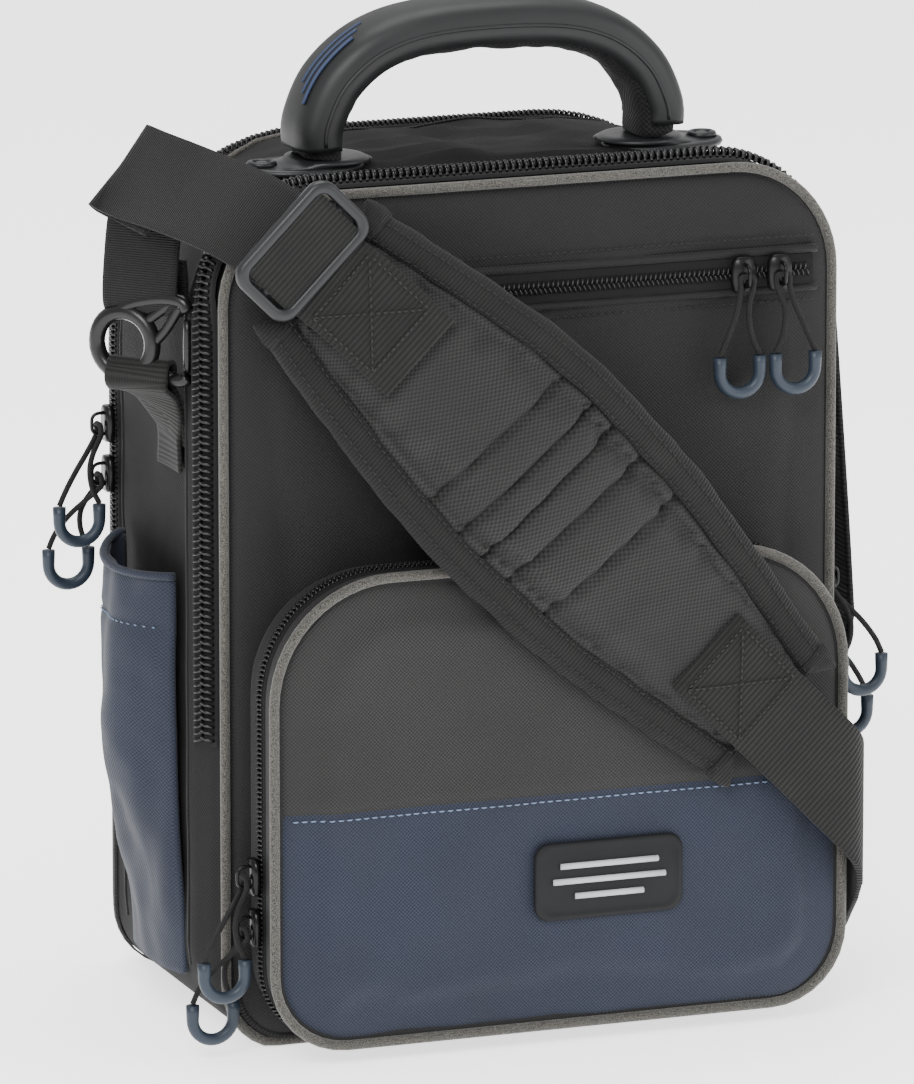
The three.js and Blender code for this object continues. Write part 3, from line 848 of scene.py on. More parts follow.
def bag_shell():
    """Gusset, top and base in one padded skin, with its seams and the light strip at the back."""
    depths_and_insets = (
        (-44, 3.2), (-42, 2.4), (-39, 1.0), (-35, 0.1), (-30, 0), (-22, 0), (-10, 0), (4, 0), (18, 0),
        (32, 0), (46, 0), (58, 0), (66, 0), (70, 0), (72, 0.4),
    )
    # the gusset takes the darker copy of the black nylon: painted shade for the sides
    shell = grid("gusset_skin", [bag_ring(*step) for step in depths_and_insets], [SHADED_SIDE_BLACK, LINING])
    subdivide(shell)
    push(shell, shell_softness)
    keep_above(shell)
    thicken(shell, 5.2, 1)
    box_uv(shell)
    place(shell, "bag", ["main_shell"], "black_nylon")
    for word, y in (("front", -22), ("rear", 57)):
        line = line_on_shell(shell, y, lambda p: p[2] > 24, 0.2)
        place(sweep(f"gusset_seam_{word}", line, 0.6, [BLACK], 6), "bag", slot="black_nylon")
    line = line_on_shell(shell, 53, lambda p: p[0] < -40 and p[2] > 300, 0.6)
    place(sweep("rear_light_strip", line, 1.1, [PIPING], 8), "bag", slot="melange_piping")


def front_skin():
    """The front door and the fixed front below it: one padded skin, fixed where it rests."""
    depths_and_insets = (
        (-44.4, 4.2), (-46, 3.4), (-52, 2.6), (-56.5, 2.8), (-58.4, 5), (-59.4, 9), (-60.2, 17),
    )
    skin = panel("door_skin", [bag_ring(*step) for step in depths_and_insets], [BLACK, LINING])
    soft = inflated(skin_block("door_core", bag_ring, -45, -58, 4.5), 7, 3.0, 5)

    def clear_of_zip(p):
        return ramp(-p.y, 59.3, 60.2) * (1 - math.exp(-((p.z - UPPER_ZIP_Z) / 16) ** 2))

    def softness(p):
        face = 1 - ramp(p.y, -59.5, -57)
        edge = ramp(BAG_HALF - abs(p.x), 6, 24) * ramp(BAG_HIGH - p.z, 6, 20)
        return face * edge * (wrinkle(p, 48, 2.2, 9) + wrinkle(p, 19, 0.7, 3))

    settle(skin, soft, clear_of_zip, 2.6)
    subdivide(skin)
    push(skin, softness)
    keep_above(skin)
    thicken(skin, 4, 1)
    box_uv(skin)
    fold(skin, ["front_panel", "upper_pocket_face"])


def skin_block(name, ring_at, back_y, front_y, inset):
    """Closed block inside a panel, for the cloth simulation."""
    middle_y = (back_y + front_y) / 2
    rows = [ring_at(back_y, inset), ring_at(middle_y, inset), ring_at(front_y, inset + 1.5)]
    front = panel(name, rows, [LINING])
    work = bmesh.new()
    work.from_mesh(front.data)
    bmesh.ops.holes_fill(work, edges=[e for e in work.edges if e.is_boundary])
    work.to_mesh(front.data)
    work.free()
    bpy.context.scene.collection.objects.unlink(front)
    return front


def welted(name, ring_at, y, inset, radius, welt_inset):
    """Piping round a ring with the flange that sews it in."""
    ring = [(x, y, max(z, radius + 0.2)) for x, _, z in ring_at(y, inset)]
    tube = sweep(f"{name}_tube", ring, radius, [PIPING], 12, closed=True)
    rows = [ring_at(y + 0.2, inset + 0.5 * radius), ring_at(y + 0.6, welt_inset)]
    flange = grid(f"{name}_flange", rows, [BLACK])
    box_uv(flange)
    return merge(name, [tube, flange])


def door_piping():
    piping = welted("door_piping", bag_ring, -56.4, 0.6, 1.95, 7)
    fold(piping, ["front_panel_piping"])


def rear_skin():
    """The rear compartment's padded back, in one skin over the rear shell and the rear flap."""
    depths_and_insets = ((75.2, 0.3), (77, 0), (82, 1), (87, 4), (90.5, 9), (92, 16), (92.8, 28))
    skin = panel("rear_skin", [bag_ring(*step) for step in depths_and_insets], [BLACK, LINING])
    subdivide(skin)
    push(skin, lambda p: ramp(p.y, 86, 93) * (wrinkle(p, 55, 2.0, 2) + wrinkle(p, 18, 0.5, 5)))
    keep_above(skin)
    thicken(skin, 3.2, 1)
    box_uv(skin)
    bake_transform(skin)
    stand_for(["rear_shell", "rear_flap"])


def back_edge():
    """Welt that closes the gap between the shell and the rear compartment."""
    welt = band("rear_welt", bag_ring, 71.5, 75.5, 0.9, BLACK)
    keep_above(welt)
    place(welt, "bag", slot="black_nylon")


def base_edge():
    """Thin black binding round the bottom front."""
    ring = [(x, -57.2, z) for x, _, z in bag_ring(-57, 4.5)]
    run = cut(ring, lambda p: p[2] < 24)
    edge = sweep("base_binding", [ring[i] for i in run], 1.6, [BINDING], 8)
    place(edge, "bag", slot="webbing")


bag_shell()
front_skin()
door_piping()
rear_skin()
back_edge()
base_edge()


# =====================================================================================
# Front pocket
# =====================================================================================
POCKET_SIDE_Y = -89.5


def pocket_softness(p):
    """Folds on the pocket's face, and the groove of the seam between its two cloths."""
    face = ramp(-p.y, 86, 92)
    seam = -0.9 * math.exp(-((p.z - SEAM_Z) / 1.6) ** 2)
    folds = wrinkle(p, 48, 2.0, 6) + wrinkle(p, 16, 0.45, 8)
    return face * (folds * ramp(POCKET_HALF - abs(p.x), 2, 22) + seam)


def colour_pocket(skin):
    """Cuts the skin along the seam: charcoal above it, navy below it, black round the sides."""
    charcoal, navy, black = range(3)
    work = bmesh.new()
    work.from_mesh(skin.data)
    bmesh.ops.bisect_plane(
        work, geom=work.verts[:] + work.edges[:] + work.faces[:],
        plane_co=(0, 0, SEAM_Z * MM), plane_no=(0, 0, 1),
    )
    for face in work.faces:
        middle = face.calc_center_median() / MM
        if middle.y > POCKET_SIDE_Y:
            face.material_index = black
        else:
            face.material_index = navy if middle.z < SEAM_Z else charcoal
    work.to_mesh(skin.data)
    work.free()


def pocket_skin():
    depths_and_insets = (
        (-58.4, 0), (-64, -0.6), (-70, -0.4), (-77, -0.4), (-83, -0.6), (-88, 0), (-90.4, 2),
        (-91.4, 5), (-92.2, 12),
    )
    rings = [pocket_ring(*step) for step in depths_and_insets]
    skin = panel("front_pocket_skin", rings, [CHARCOAL, NAVY, BLACK])
    soft = inflated(skin_block("pocket_core", pocket_ring, -60, -91, 1.5), 6, 4.0, 6)
    settle(skin, soft, lambda p: ramp(-p.y, 91.2, 92.2), 3.0)
    subdivide(skin)
    colour_pocket(skin)
    push(skin, pocket_softness)
    thicken(skin, 3)
    box_uv(skin)
    fold(skin, ["pocket_upper", "pocket_lower"])
    return skin


def pocket_trim(skin):
    """Piping, zip, and the stitches under the seam."""
    piping = welted("pocket_piping", pocket_ring, -90.2, -1.4, 2.0, 6)
    fold(piping, ["pocket_piping_upper", "pocket_piping_lower"])

    tape = band("pocket_zip_tape", pocket_ring, -77.6, -69.2, 1.0, TAPE)
    ring = pocket_ring(POCKET_ZIP_Y, -1.1)
    teeth = coil_teeth("pocket_teeth", ring + ring[:1], ring_normals(ring) + [(0, 0, -1)], 4.6, 1.9)
    fold(merge("pocket_zip", [tape, teeth]), ["pocket_zip_upper", "pocket_zip_lower"])

    seam_line = [(x, -96.2, SEAM_Z - 2.4) for x in range(-110, 112, 2)]
    row = stitches("navy_seam_stitches", seam_line, (0, -1, 0), BLUE_THREAD, 3.4, 0.34)
    drop_onto(row, skin, (0, 1, 0), 0.1)
    fold(row)


pocket_trim(pocket_skin())


# =====================================================================================
# Zips on the bag
# =====================================================================================
def zip_round_bag(name, node, middle_y, half, tooth_width, pitch, cut_z, lean):
    """Tape and coil round the bag. On the sides the zip leans towards the front by lean per mm."""
    middle = bag_ring(middle_y, 0)
    run = cut(middle, lambda p: p[2] > cut_z)
    outward = ring_normals(middle)
    rows, line, normals = [], [], []
    for i in run:
        tilt = lean * side_share(middle[i])
        out = Vector(outward[i])
        across = (Vector((0, 1, 0)) + out * tilt).normalized()
        facing = (out - Vector((0, 1, 0)) * tilt).normalized()
        centre = Vector(middle[i]) + out * 0.9
        rows.append([
            tuple(centre + across * (-half - 1) - facing * 1.2), tuple(centre - across * half),
            tuple(centre - across * tooth_width * 0.55), tuple(centre + across * tooth_width * 0.55),
            tuple(centre + across * half), tuple(centre + across * (half + 1) - facing * 1.2),
        ])
        line.append(centre + facing * 0.3)
        normals.append(facing)
    tape = grid(f"{name}_tape", rows, [TAPE], closed_across=False)
    box_uv(tape)
    teeth = coil_teeth(f"{name}_teeth", line, normals, tooth_width, pitch)
    place(merge(name, [tape, teeth]), "bag", [node], "coil_zip")


zip_round_bag("main_zip", "main_zip_chain", MAIN_ZIP_Y, 6.8, 10.4, 2.7, 114, 0.45)
zip_round_bag("rear_zip", "rear_zip_chain", REAR_ZIP_Y, 4.0, 5.0, 2.1, 174, 0)


def upper_pocket():
    """The exposed zip above the pad, its tape, and the stitched folds over and under it."""
    rows = [
        [(x, -61.0, UPPER_ZIP_Z - 6.5), (x, -62.2, UPPER_ZIP_Z - 5.5),
         (x, -62.2, UPPER_ZIP_Z + 5.5), (x, -61.0, UPPER_ZIP_Z + 6.5)]
        for x in range(-102, 115, 4)
    ]
    tape = grid("upper_tape", rows, [TAPE], closed_across=False)
    box_uv(tape)
    line = [(x, -62.4, UPPER_ZIP_Z) for x in range(-98, 113, 2)]
    teeth = coil_teeth("upper_teeth", line, [(0, -1, 0)] * len(line), 5.2, 2.0)
    place(merge("upper_zip", [tape, teeth]), "front_door", ["upper_pocket_zip"], "coil_zip")
    for name, z, radius in (("upper_lip", UPPER_ZIP_Z + 7.6, 1.7), ("lower_lip", UPPER_ZIP_Z - 7.6, 1.4)):
        line = [(x, -61.2, z) for x in range(-104, 117, 4)]
        place(sweep(f"pocket_{name}", line, radius, [BLACK], 8), "front_door", slot="black_nylon")
    for name, z in (("above", UPPER_ZIP_Z + 13), ("below", UPPER_ZIP_Z - 12)):
        line = [(x, -61.4, z) for x in range(-104, 117, 3)]
        row = stitches(f"pocket_stitch_{name}", line, (0, -1, 0), DARK_THREAD, 3.0, 0.3, 0.4)
        place(row, "front_door")


upper_pocket()


# =====================================================================================
# Side pockets
# =====================================================================================
SIDE_HEM_Z = 158


def side_pocket_rows(side):
    """Rows of points from the pocket's foot to its mouth, which bulges and rises at the back."""
    rows = []
    for k in range(31):
        z = 20 + 158 * k / 30
        depth = 6 + 17 * ramp(z, 16, 120) - 2 * ramp(z, 140, 178)
        row = []
        for j in range(21):
            share = j / 20
            swell = math.sin(math.pi * (0.02 + 0.96 * share)) ** 0.55
            rise = 10 * (share - 0.25) ** 2 * ramp(z, 110, 178)
            row.append((side * (BAG_HALF + 0.6 + depth * swell), -15.5 + 62 * share, z + rise))
        rows.append(row)
    return rows


def side_pocket_softness(p):
    folds = wrinkle((p.x, p.y * 1.6, p.z * 0.55), 26, 3.0, 7) + wrinkle(p, 12, 0.6, 1)
    hem = 0.8 * math.exp(-((p.z - SIDE_HEM_Z) / 2) ** 2)
    return ramp(abs(p.x), 127, 136) * (folds - hem)


def side_pocket(side, word):
    """Bulging open-topped slip pocket with a folded hem."""
    rows = side_pocket_rows(side)
    skin = grid(f"side_pocket_skin_{word}", rows, [NAVY], closed_across=False)
    if (skin.data.polygons[40].normal.x > 0) != (side > 0):
        skin.data.flip_normals()
    subdivide(skin)
    push(skin, side_pocket_softness)
    thicken(skin, 2)
    box_uv(skin)
    place(skin, "bag", [f"side_pocket_{word}"], "navy_nylon")
    rim = sweep(f"side_pocket_rim_{word}", smooth_line(rows[-1], 40), 1.7, [NAVY], 8)
    place(rim, "bag", slot="navy_nylon")
    hem = [(side * (BAG_HALF + 30), y, SIDE_HEM_Z - 0.5) for y in range(-10, 44, 2)]
    row = stitches(f"side_pocket_stitch_{word}", hem, (side, 0, 0), BLUE_THREAD, 3.2, 0.34)
    drop_onto(row, skin, (-side, 0, 0), 0.1)
    place(row, "bag")


side_pocket(-1, "left")
side_pocket(1, "right")


# =====================================================================================
# Handle
# =====================================================================================
HANDLE_LINE = [
    (-68.5, HANDLE_Y, 335.0), (-68, HANDLE_Y, 340), (-67.5, HANDLE_Y, 350), (-60, HANDLE_Y, 365),
    (-44, HANDLE_Y, 377), (-20, HANDLE_Y, 382.5), (20, HANDLE_Y, 382.5), (44, HANDLE_Y, 377),
    (60, HANDLE_Y, 365), (67.5, HANDLE_Y, 350), (68, HANDLE_Y, 340), (68.5, HANDLE_Y, 335.0),
]


def handle_points():
    """The handle's middle line in 1 mm steps."""
    return resample(smooth_line(HANDLE_LINE, 300), 1.0)


def handle_out(line, k):
    """The direction away from the hand hole at one point of the handle's line."""
    along = (line[k + 1] - line[k - 1]).normalized()
    return Vector((-along.z, 0, along.x))


def handle_sweep(name, section_at, materials, steps=72, start=0.0, end=1.0):
    """Sweeps section_at(share) -> [(across, outward)] along the handle's line."""
    line = handle_points()
    last = len(line) - 2
    rows = []
    for step in range(steps + 1):
        share = start + (end - start) * step / steps
        k = max(1, min(last, round(share * last)))
        out = handle_out(line, k)
        rows.append([tuple(line[k] + Vector((0, u, 0)) + out * v) for u, v in section_at(share)])
    obj = grid(name, rows, materials, caps=True)
    box_uv(obj)
    return obj


def rounded_section(half_across, half_thick, power, count=28):
    """A section between an oval and a rectangle; a lower power is squarer."""
    points = []
    for i in range(count):
        angle = 2 * math.pi * i / count
        c, s = math.cos(angle), math.sin(angle)
        points.append((math.copysign(abs(c) ** power, c) * half_across,
                       math.copysign(abs(s) ** power, s) * half_thick))
    return points


def cover_section(share):
    """A saddle over the grip's outer side, thinner at its two long edges."""
    end = ramp(min(share - 0.02, 0.98 - share), 0, 0.05)
    outer, inner = [], []
    for i in range(17):
        angle = math.radians(-12 + 204 * i / 16)
        c, s = math.cos(angle), math.sin(angle)
        x = math.copysign(abs(c) ** 0.62, c)
        z = math.copysign(abs(s) ** 0.62, s)
        outer.append((x * 16.8, z * (11.6 + 0.4 * end)))
        inner.append((x * 15.0, z * 9.8 - 0.6))
    return outer + inner[::-1]


def lay_handle(obj, nodes=()):
    """The last step for a piece of the handle, fixed where it rests."""
    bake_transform(obj)
    stand_for(nodes)


def handle():
    grip = handle_sweep("handle_grip_padded", lambda t: rounded_section(14.4, 8.2, 0.7), [GRIP_CLOTH])
    subdivide(grip)
    push(grip, lambda p: wrinkle(p, 11, 0.9, 2) + wrinkle((p.x, p.y * 0.3, p.z), 6, 0.35, 4))
    box_uv(grip)
    lay_handle(grip, ["handle_grip"])
    cover = handle_sweep("handle_cover_rubber", cover_section, [RUBBER], 90, 0.03, 0.97)
    lay_handle(cover, ["handle_cover"])
    line = handle_points()
    for number in range(3):
        across = Vector((0, -9.5 + 4.6 * number, 0))
        run = range(20 + number * 3, 46 + number * 3)
        stripe = [line[k] + handle_out(line, k) * 11.95 + across for k in run]
        lay_handle(sweep(f"handle_stripe_{number + 1}", stripe, 0.7, [STRIPE], 8))
    for hand, word in ((-1, "front"), (1, "back")):
        across = Vector((0, hand * 16.6, 0))
        edge = [line[k] + handle_out(line, k) * 2.2 + across for k in range(8, len(line) - 8, 2)]
        lay_handle(sweep(f"handle_cover_rim_{word}", edge, 0.8, [RUBBER], 8))


def oval(x, width, depth, z, count):
    """A ring of points round a spot on the handle's middle plane."""
    angles = [2 * math.pi * i / count for i in range(count)]
    return [(x + width * math.cos(a), HANDLE_Y + depth * math.sin(a), z) for a in angles]


def handle_base(side, word):
    """Oval moulded plate with a raised collar round the handle's foot and an eyelet."""
    foot = side * 68
    eyelet_at = foot + side * 22.5
    levels = (
        (6, 24, 16.5, 331.6), (6, 24.6, 17, 332.8), (6, 24, 16.5, 334.0), (6, 22.6, 15.2, 334.5),
        (6, 21.8, 14.4, 334.2), (3.6, 18.5, 12.5, 334.2), (-4, 17.5, 17.0, 335.4),
        (-3, 15.5, 15.5, 336.8), (-3, 13, 13.5, 337),
    )
    rows = [oval(foot + side * shift, width, depth, z, 44) for shift, width, depth, z in levels]
    plate = grid(f"handle_plate_{word}", rows, [PLASTIC], caps=True)
    ring = oval(eyelet_at, 4.6, 4.2, 335, 24)
    loop = sweep(f"handle_eyelet_{word}", ring, 1.4, [PLASTIC], 8, closed=True)
    domed = ((3.2, 334.0), (3.0, 335.2), (2.2, 335.8), (1.0, 336.0))
    rows = [oval(eyelet_at, radius, radius, z, 16) for radius, z in domed]
    rivet = grid(f"handle_rivet_{word}", rows, [LACQUER], caps=True)
    base = merge(f"handle_base_{word}_moulded", [plate, loop, rivet])
    place(base, "bag", [f"handle_base_{word}"], "moulded_plastic")


handle()
handle_base(-1, "left")
handle_base(1, "right")


# =====================================================================================
# Strap: pad, webbing, tri-glide
# =====================================================================================
PAD_STATIONS = [
    ((-90, -75, 304), 64), ((-70, -83, 283), 76), ((-42, -94, 254), 90), ((-20, -100, 231), 95),
    ((-4, -101, 214), 94), ((22, -101, 187), 90), ((50, -101, 158), 78), ((81, -101, 126), 62),
]
ACROSS = Vector((1, 0, 1)).normalized()
PAD_COUNT = 150
PAD_COLUMNS = 60
BINDING_WIDTH = 11
# Where the sewn channels lie, as shares of the pad's length.
CHANNELS = (0.36, 0.44, 0.52, 0.60, 0.68)


def pad_frames(count):
    line = smooth_line([p for p, _ in PAD_STATIONS], count)
    widths = smooth_line([(w, 0, 0) for _, w in PAD_STATIONS], count)
    frames = []
    for k, here in enumerate(line):
        along = (line[min(k + 1, count - 1)] - line[max(k - 1, 0)]).normalized()
        out = ACROSS.cross(along).normalized()
        if out.y > 0:
            out = -out
        frames.append((here, along, out, widths[k].x))
    return frames


def pad_core(frames):
    """A slab a little smaller than the pad, for the cloth simulation."""
    rows = []
    for here, _, out, width in frames[3:-3:2]:
        half = width / 2 - 10
        top = [tuple(here + ACROSS * half * c + out * 1.2) for c in (-1, -0.5, 0, 0.5, 1)]
        low = [tuple(here + ACROSS * half * c - out * 3.6) for c in (1, 0.5, 0, -0.5, -1)]
        rows.append(top + low)
    core = grid("pad_core", rows, [PAD_CLOTH], caps=True)
    bpy.context.scene.collection.objects.unlink(core)
    return core


def channel_height(share, cross, inside):
    """How much the sewn channels raise and lower the pad's face, in millimetres."""
    slant = cross * 0.02
    groove = sum(math.exp(-((share - at - slant) / 0.0052) ** 2) for at in CHANNELS)
    cell = (share - slant - CHANNELS[0]) / (CHANNELS[1] - CHANNELS[0])
    puff = abs(math.sin(math.pi * cell)) ** 0.7 if 0 < cell < len(CHANNELS) - 1 else 0.5
    return (1.5 * puff - 0.9) * inside, min(1.0, groove) * 3.4 * inside


def pad_row(frame_at, share, soft):
    """One row across the pad: its front points and its back points."""
    here, _, out, width = frame_at
    half = width / 2
    bound = (half - BINDING_WIDTH) / half
    end = ramp(min(share, 1 - share), 0, 0.03)
    front, back = [], []
    for j in range(PAD_COLUMNS + 1):
        cross = 2 * j / PAD_COLUMNS - 1
        spot = here + ACROSS * cross * half
        inside = 1 - ramp(abs(cross), bound - 0.04, bound + 0.02)
        swell = 1.4 + 3.4 * inside * max(0.0, 1 - (cross / bound) ** 4) ** 0.5
        if soft is not None and inside > 0:
            hit, place_at, _, _ = soft.ray_cast((spot + out * 20) * MM, -out, distance=0.04)
            if hit:
                height = (place_at / MM - spot).dot(out)
                swell += (max(1.0, min(6.4, height)) - swell) * inside * 0.8
        raised, lowered = channel_height(share, cross, inside)
        seam = math.exp(-((abs(cross) - bound) * half / 1.3) ** 2)
        swell = swell + raised - lowered - 1.3 * seam
        edge = 1 - abs(cross) ** 14
        swell *= 0.45 + 0.55 * edge
        front.append(tuple(spot + out * (0.4 + swell * (0.3 + 0.7 * end))))
        back.append(tuple(spot - out * (0.6 + 3.2 * edge)))
    return front + back[::-1]


def pad_body(frames):
    soft = inflated(pad_core(frames), 4.0, 4.0, 5)
    bpy.context.view_layer.update()
    rows = [pad_row(frame_at, k / (PAD_COUNT - 1), soft) for k, frame_at in enumerate(frames)]
    if soft is not None:
        bpy.data.objects.remove(soft)
    body = grid("shoulder_pad_quilted", rows, [PAD_CLOTH], caps=True)
    push(body, lambda p: wrinkle(p, 15, 1.0, 3) + wrinkle(p, 6, 0.25, 5))
    strip_uv(body, rows)
    fold(body, ["shoulder_pad"])


def pad_binding(frames, hand, word):
    """The ribbed tape sewn round one long edge of the pad, and its two rows of stitches."""
    rows = []
    for here, _, out, width in frames:
        outer = here + ACROSS * hand * (width / 2 + 1.0)
        inner = here + ACROSS * hand * (width / 2 - (BINDING_WIDTH + 0.5))
        rows.append([
            tuple(inner + out * 2.6), tuple(inner + ACROSS * hand * 1.0 + out * 3.4),
            tuple(inner.lerp(outer, 0.5) + out * 3.9), tuple(outer + out * 2.6),
            tuple(outer + ACROSS * hand * 0.9), tuple(outer - out * 3.6),
            tuple(inner.lerp(outer, 0.4) - out * 4.6),
        ])
    edge = grid(f"pad_binding_{word}", rows, [BINDING], closed_across=False)
    strip_uv(edge, rows)
    subdivide(edge)
    push(edge, lambda p: wrinkle(p, 12, 0.7, 6))
    thicken(edge, 0.8)
    fold(edge)
    for number, (inset, height) in enumerate(((10.3, 3.9), (2.4, 3.6))):
        line = [
            here + ACROSS * hand * (width / 2 - inset) + out * height
            for here, _, out, width in frames
        ]
        name = f"pad_binding_stitch_{word}_{number}"
        fold(stitches(name, line, (0, -1, 0), DARK_THREAD, 3.0, 0.3, 0.2))


def pad_corner(number, frame_at, hand, lean):
    """The pointed end of a binding, past the pad's corner."""
    here, along, out, width = frame_at
    corner = here + ACROSS * hand * (width / 2 - 6)
    tip = corner + along * lean * 11 + ACROSS * hand * 5
    rows = []
    for share, half in ((0, 8), (0.35, 6.4), (0.7, 3.8), (1, 0.9)):
        centre = corner.lerp(tip, share)
        rows.append([
            tuple(centre + ACROSS * c * half + out * (4.8 - 1.4 * abs(c) - 1.2 * share))
            for c in (-1, -0.4, 0.4, 1)
        ])
    flap = grid(f"pad_corner_{number}", rows, [BINDING], closed_across=False)
    strip_uv(flap, rows)
    thicken(flap, 1.0)
    fold(flap)


def pad():
    frames = pad_frames(PAD_COUNT)
    pad_body(frames)
    pad_binding(frames, -1, "lower")
    pad_binding(frames, 1, "upper")
    for number, (k, hand, lean) in enumerate(((2, 1, -1), (2, -1, -1), (-3, 1, 1), (-3, -1, 1))):
        pad_corner(number, frames[k], hand, lean)


WEB_SHARES = [2 * j / 12 - 1 for j in range(13)]


def webbing_from_rows(name, rows, material, thickness=1.8):
    strip = grid(name, rows, [material], closed_across=False)
    strip_uv(strip, rows)
    modifier = strip.modifiers.new("thickness", "SOLIDIFY")
    modifier.thickness = thickness * MM
    modifier.offset = 0
    apply_modifiers(strip)
    return strip


def ribbon(name, stations, material, width=WEBBING, thickness=1.8, count=60):
    """Flat webbing through stations of (centre, direction across)."""
    line = smooth_line([p for p, _ in stations], count)
    cross = smooth_line([a for _, a in stations], count)
    rows = []
    for k, here in enumerate(line):
        along = (line[min(k + 1, count - 1)] - line[max(k - 1, 0)]).normalized()
        side = (cross[k] - along * cross[k].dot(along)).normalized()
        out = along.cross(side)
        rows.append([
            tuple(here + side * share * width / 2 + out * (0.35 * (share * share) - 0.2))
            for share in WEB_SHARES
        ])
    return webbing_from_rows(name, rows, material, thickness)


def box_stitch(name, centre, along, out, length, width):
    """A sewn box with a cross through it."""
    centre, along, out = Vector(centre), Vector(along).normalized(), Vector(out).normalized()
    corner = [
        centre + along * a * length / 2 + ACROSS * b * width / 2
        for a, b in ((-1, -1), (1, -1), (1, 1), (-1, 1))
    ]
    rows = []
    for k, (start, end) in enumerate(((0, 1), (1, 2), (2, 3), (3, 0), (0, 2), (1, 3))):
        points = [corner[start].lerp(corner[end], i / 20) for i in range(21)]
        rows.append(stitches(f"{name}_{k}", points, out, GREY_THREAD, 2.6, 0.42, 0.3))
    return merge(name, rows)


# The strap's run seen from above: across the pocket's front, then round the bag's right side.
FRONT_OF_PAD = -108.5
PLAN_STEP = 0.5
STRAP_PLAN = resample(smooth_line([(x, y, 0) for x, y in (
    (60, FRONT_OF_PAD), (90, FRONT_OF_PAD), (106, FRONT_OF_PAD), (114, -107), (118.5, -103),
    (121.2, -97), (122.6, -90), (124.2, -80), (126.5, -70), (129.5, -58), (131.5, -46), (133, -36),
    (135.5, -27), (140, -18.5), (145, -11), (149.5, -3.5), (152, 4), (154, 12), (155, 22), (155, 40),
)], 600), PLAN_STEP)


def strap_point(distance, z):
    """A point at a distance along the strap's plan."""
    k = distance / PLAN_STEP
    low = max(1, min(len(STRAP_PLAN) - 3, int(k)))
    spot = STRAP_PLAN[low].lerp(STRAP_PLAN[low + 1], k - low)
    return spot.x, spot.y, z


def wrapped_rows(stations, count):
    """Rows of webbing points for stations of (distance, z, across distance, across z)."""
    line = smooth_line([(d, z, 0) for d, z, _, _ in stations], count)
    cross = smooth_line([(a, b, 0) for _, _, a, b in stations], count)
    rows = []
    for here, side in zip(line, cross):
        side = side.normalized()
        reaches = [share * WEBBING / 2 for share in WEB_SHARES]
        rows.append([strap_point(here.x + side.x * r, here.y + side.y * r) for r in reaches])
    return rows


FORWARD = (0, -1, 0)
BACKWARD = (0, 1, 0)
HOOK_LOOP = 31


def sew_end(strip, name, centre, along):
    """The sewn box that holds an end of the webbing to the pad."""
    bpy.context.view_layer.update()
    patch = box_stitch(name, centre, along, FORWARD, 30, 32)
    drop_onto(patch, strip, BACKWARD, 0.35)
    fold(patch)


def strap_top_end():
    """The ribbed webbing sewn on the pad's upper end."""
    strip = ribbon("strap_ribbed_end", [
        ((-60, -97.5, 275), ACROSS), ((-70, -94.0, 285), ACROSS), ((-82, -89.0, 297), ACROSS),
        ((-92, -85.0, 306), ACROSS), ((-103, -81.0, 316), ACROSS),
    ], WEB, thickness=2.6, count=50)
    sew_end(strip, "upper_box_stitch", (-78, -96, 292.5), (1, 0.3, -1))
    fold(strip)


def strap_over_corner():
    """The plain webbing from the tri-glide over the bag's corner, and its fold back to the hook."""
    fold_across = (0.64, 0, 0.77)
    strip = ribbon("strap_upper", [
        ((-99, -81.4, 313), ACROSS), ((-108, -73.4, 320), ACROSS), ((-118, -56, 327), ACROSS),
        ((-130, -28, 331.5), ACROSS), ((-139.6, -7.7, 334.3), fold_across),
        ((-144, 1, 336), fold_across), ((-144, 3.2, 335.5), fold_across),
        ((-142, 2.4, 334.0), fold_across), ((-136.7, -7.9, 331.2), fold_across),
        ((-131, -19, 328), ACROSS),
    ], PLAIN_WEB, count=150)
    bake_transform(strip)
    stand_for(["strap_webbing_upper"])


def strap_hook_loops():
    """The webbing that drops from the strap to each hook's upper bar."""
    turned = (-0.707, 0.707, 0)
    path = (
        (-136, -9, 331), (-140.5, -13, 318), (-143, -15.6, 303), (-144, -16.6, 291),
        (-143.4, -16.1, 284.6), (-140.7, -13.4, 282.4), (-137.8, -10.6, 285), (-137.2, -10, 292),
        (-138, -10.8, 303),
    )
    stations = [(spot, turned) for spot in path]
    loop = ribbon("strap_hook_loop_left", stations, PLAIN_WEB, width=HOOK_LOOP, thickness=1.6, count=60)
    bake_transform(loop)
    path = ((134.4, 300), (134.2, 291), (132.8, 284.8), (130.4, 283.2), (128.9, 285.2))
    stations = [((x, HOOK_Y, z), BACKWARD) for x, z in path]
    loop = ribbon("strap_hook_loop_right", stations, WEB, width=HOOK_LOOP, thickness=1.2, count=40)
    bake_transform(loop)


def strap_low_end():
    """The ribbed webbing from the pad's lower end to the bag's right edge."""
    first, second = Vector((52, -107.6, 155)), Vector((60, -108.2, 147))
    head = [
        [tuple(first.lerp(second, step) + ACROSS * share * WEBBING / 2) for share in WEB_SHARES]
        for step in (0.0, 0.5)
    ]
    rows = wrapped_rows([(d, 147 - d, 1, 1) for d in (0, 10, 20, 32, 44, 52, 58, 64, 70, 76, 80)], 90)
    strip = webbing_from_rows("strap_lower", head + rows, WEB, 2.4)
    sew_end(strip, "lower_box_stitch", (66, -112, 141), (1, 0, -1))
    fold(strip, ["strap_webbing_lower"])


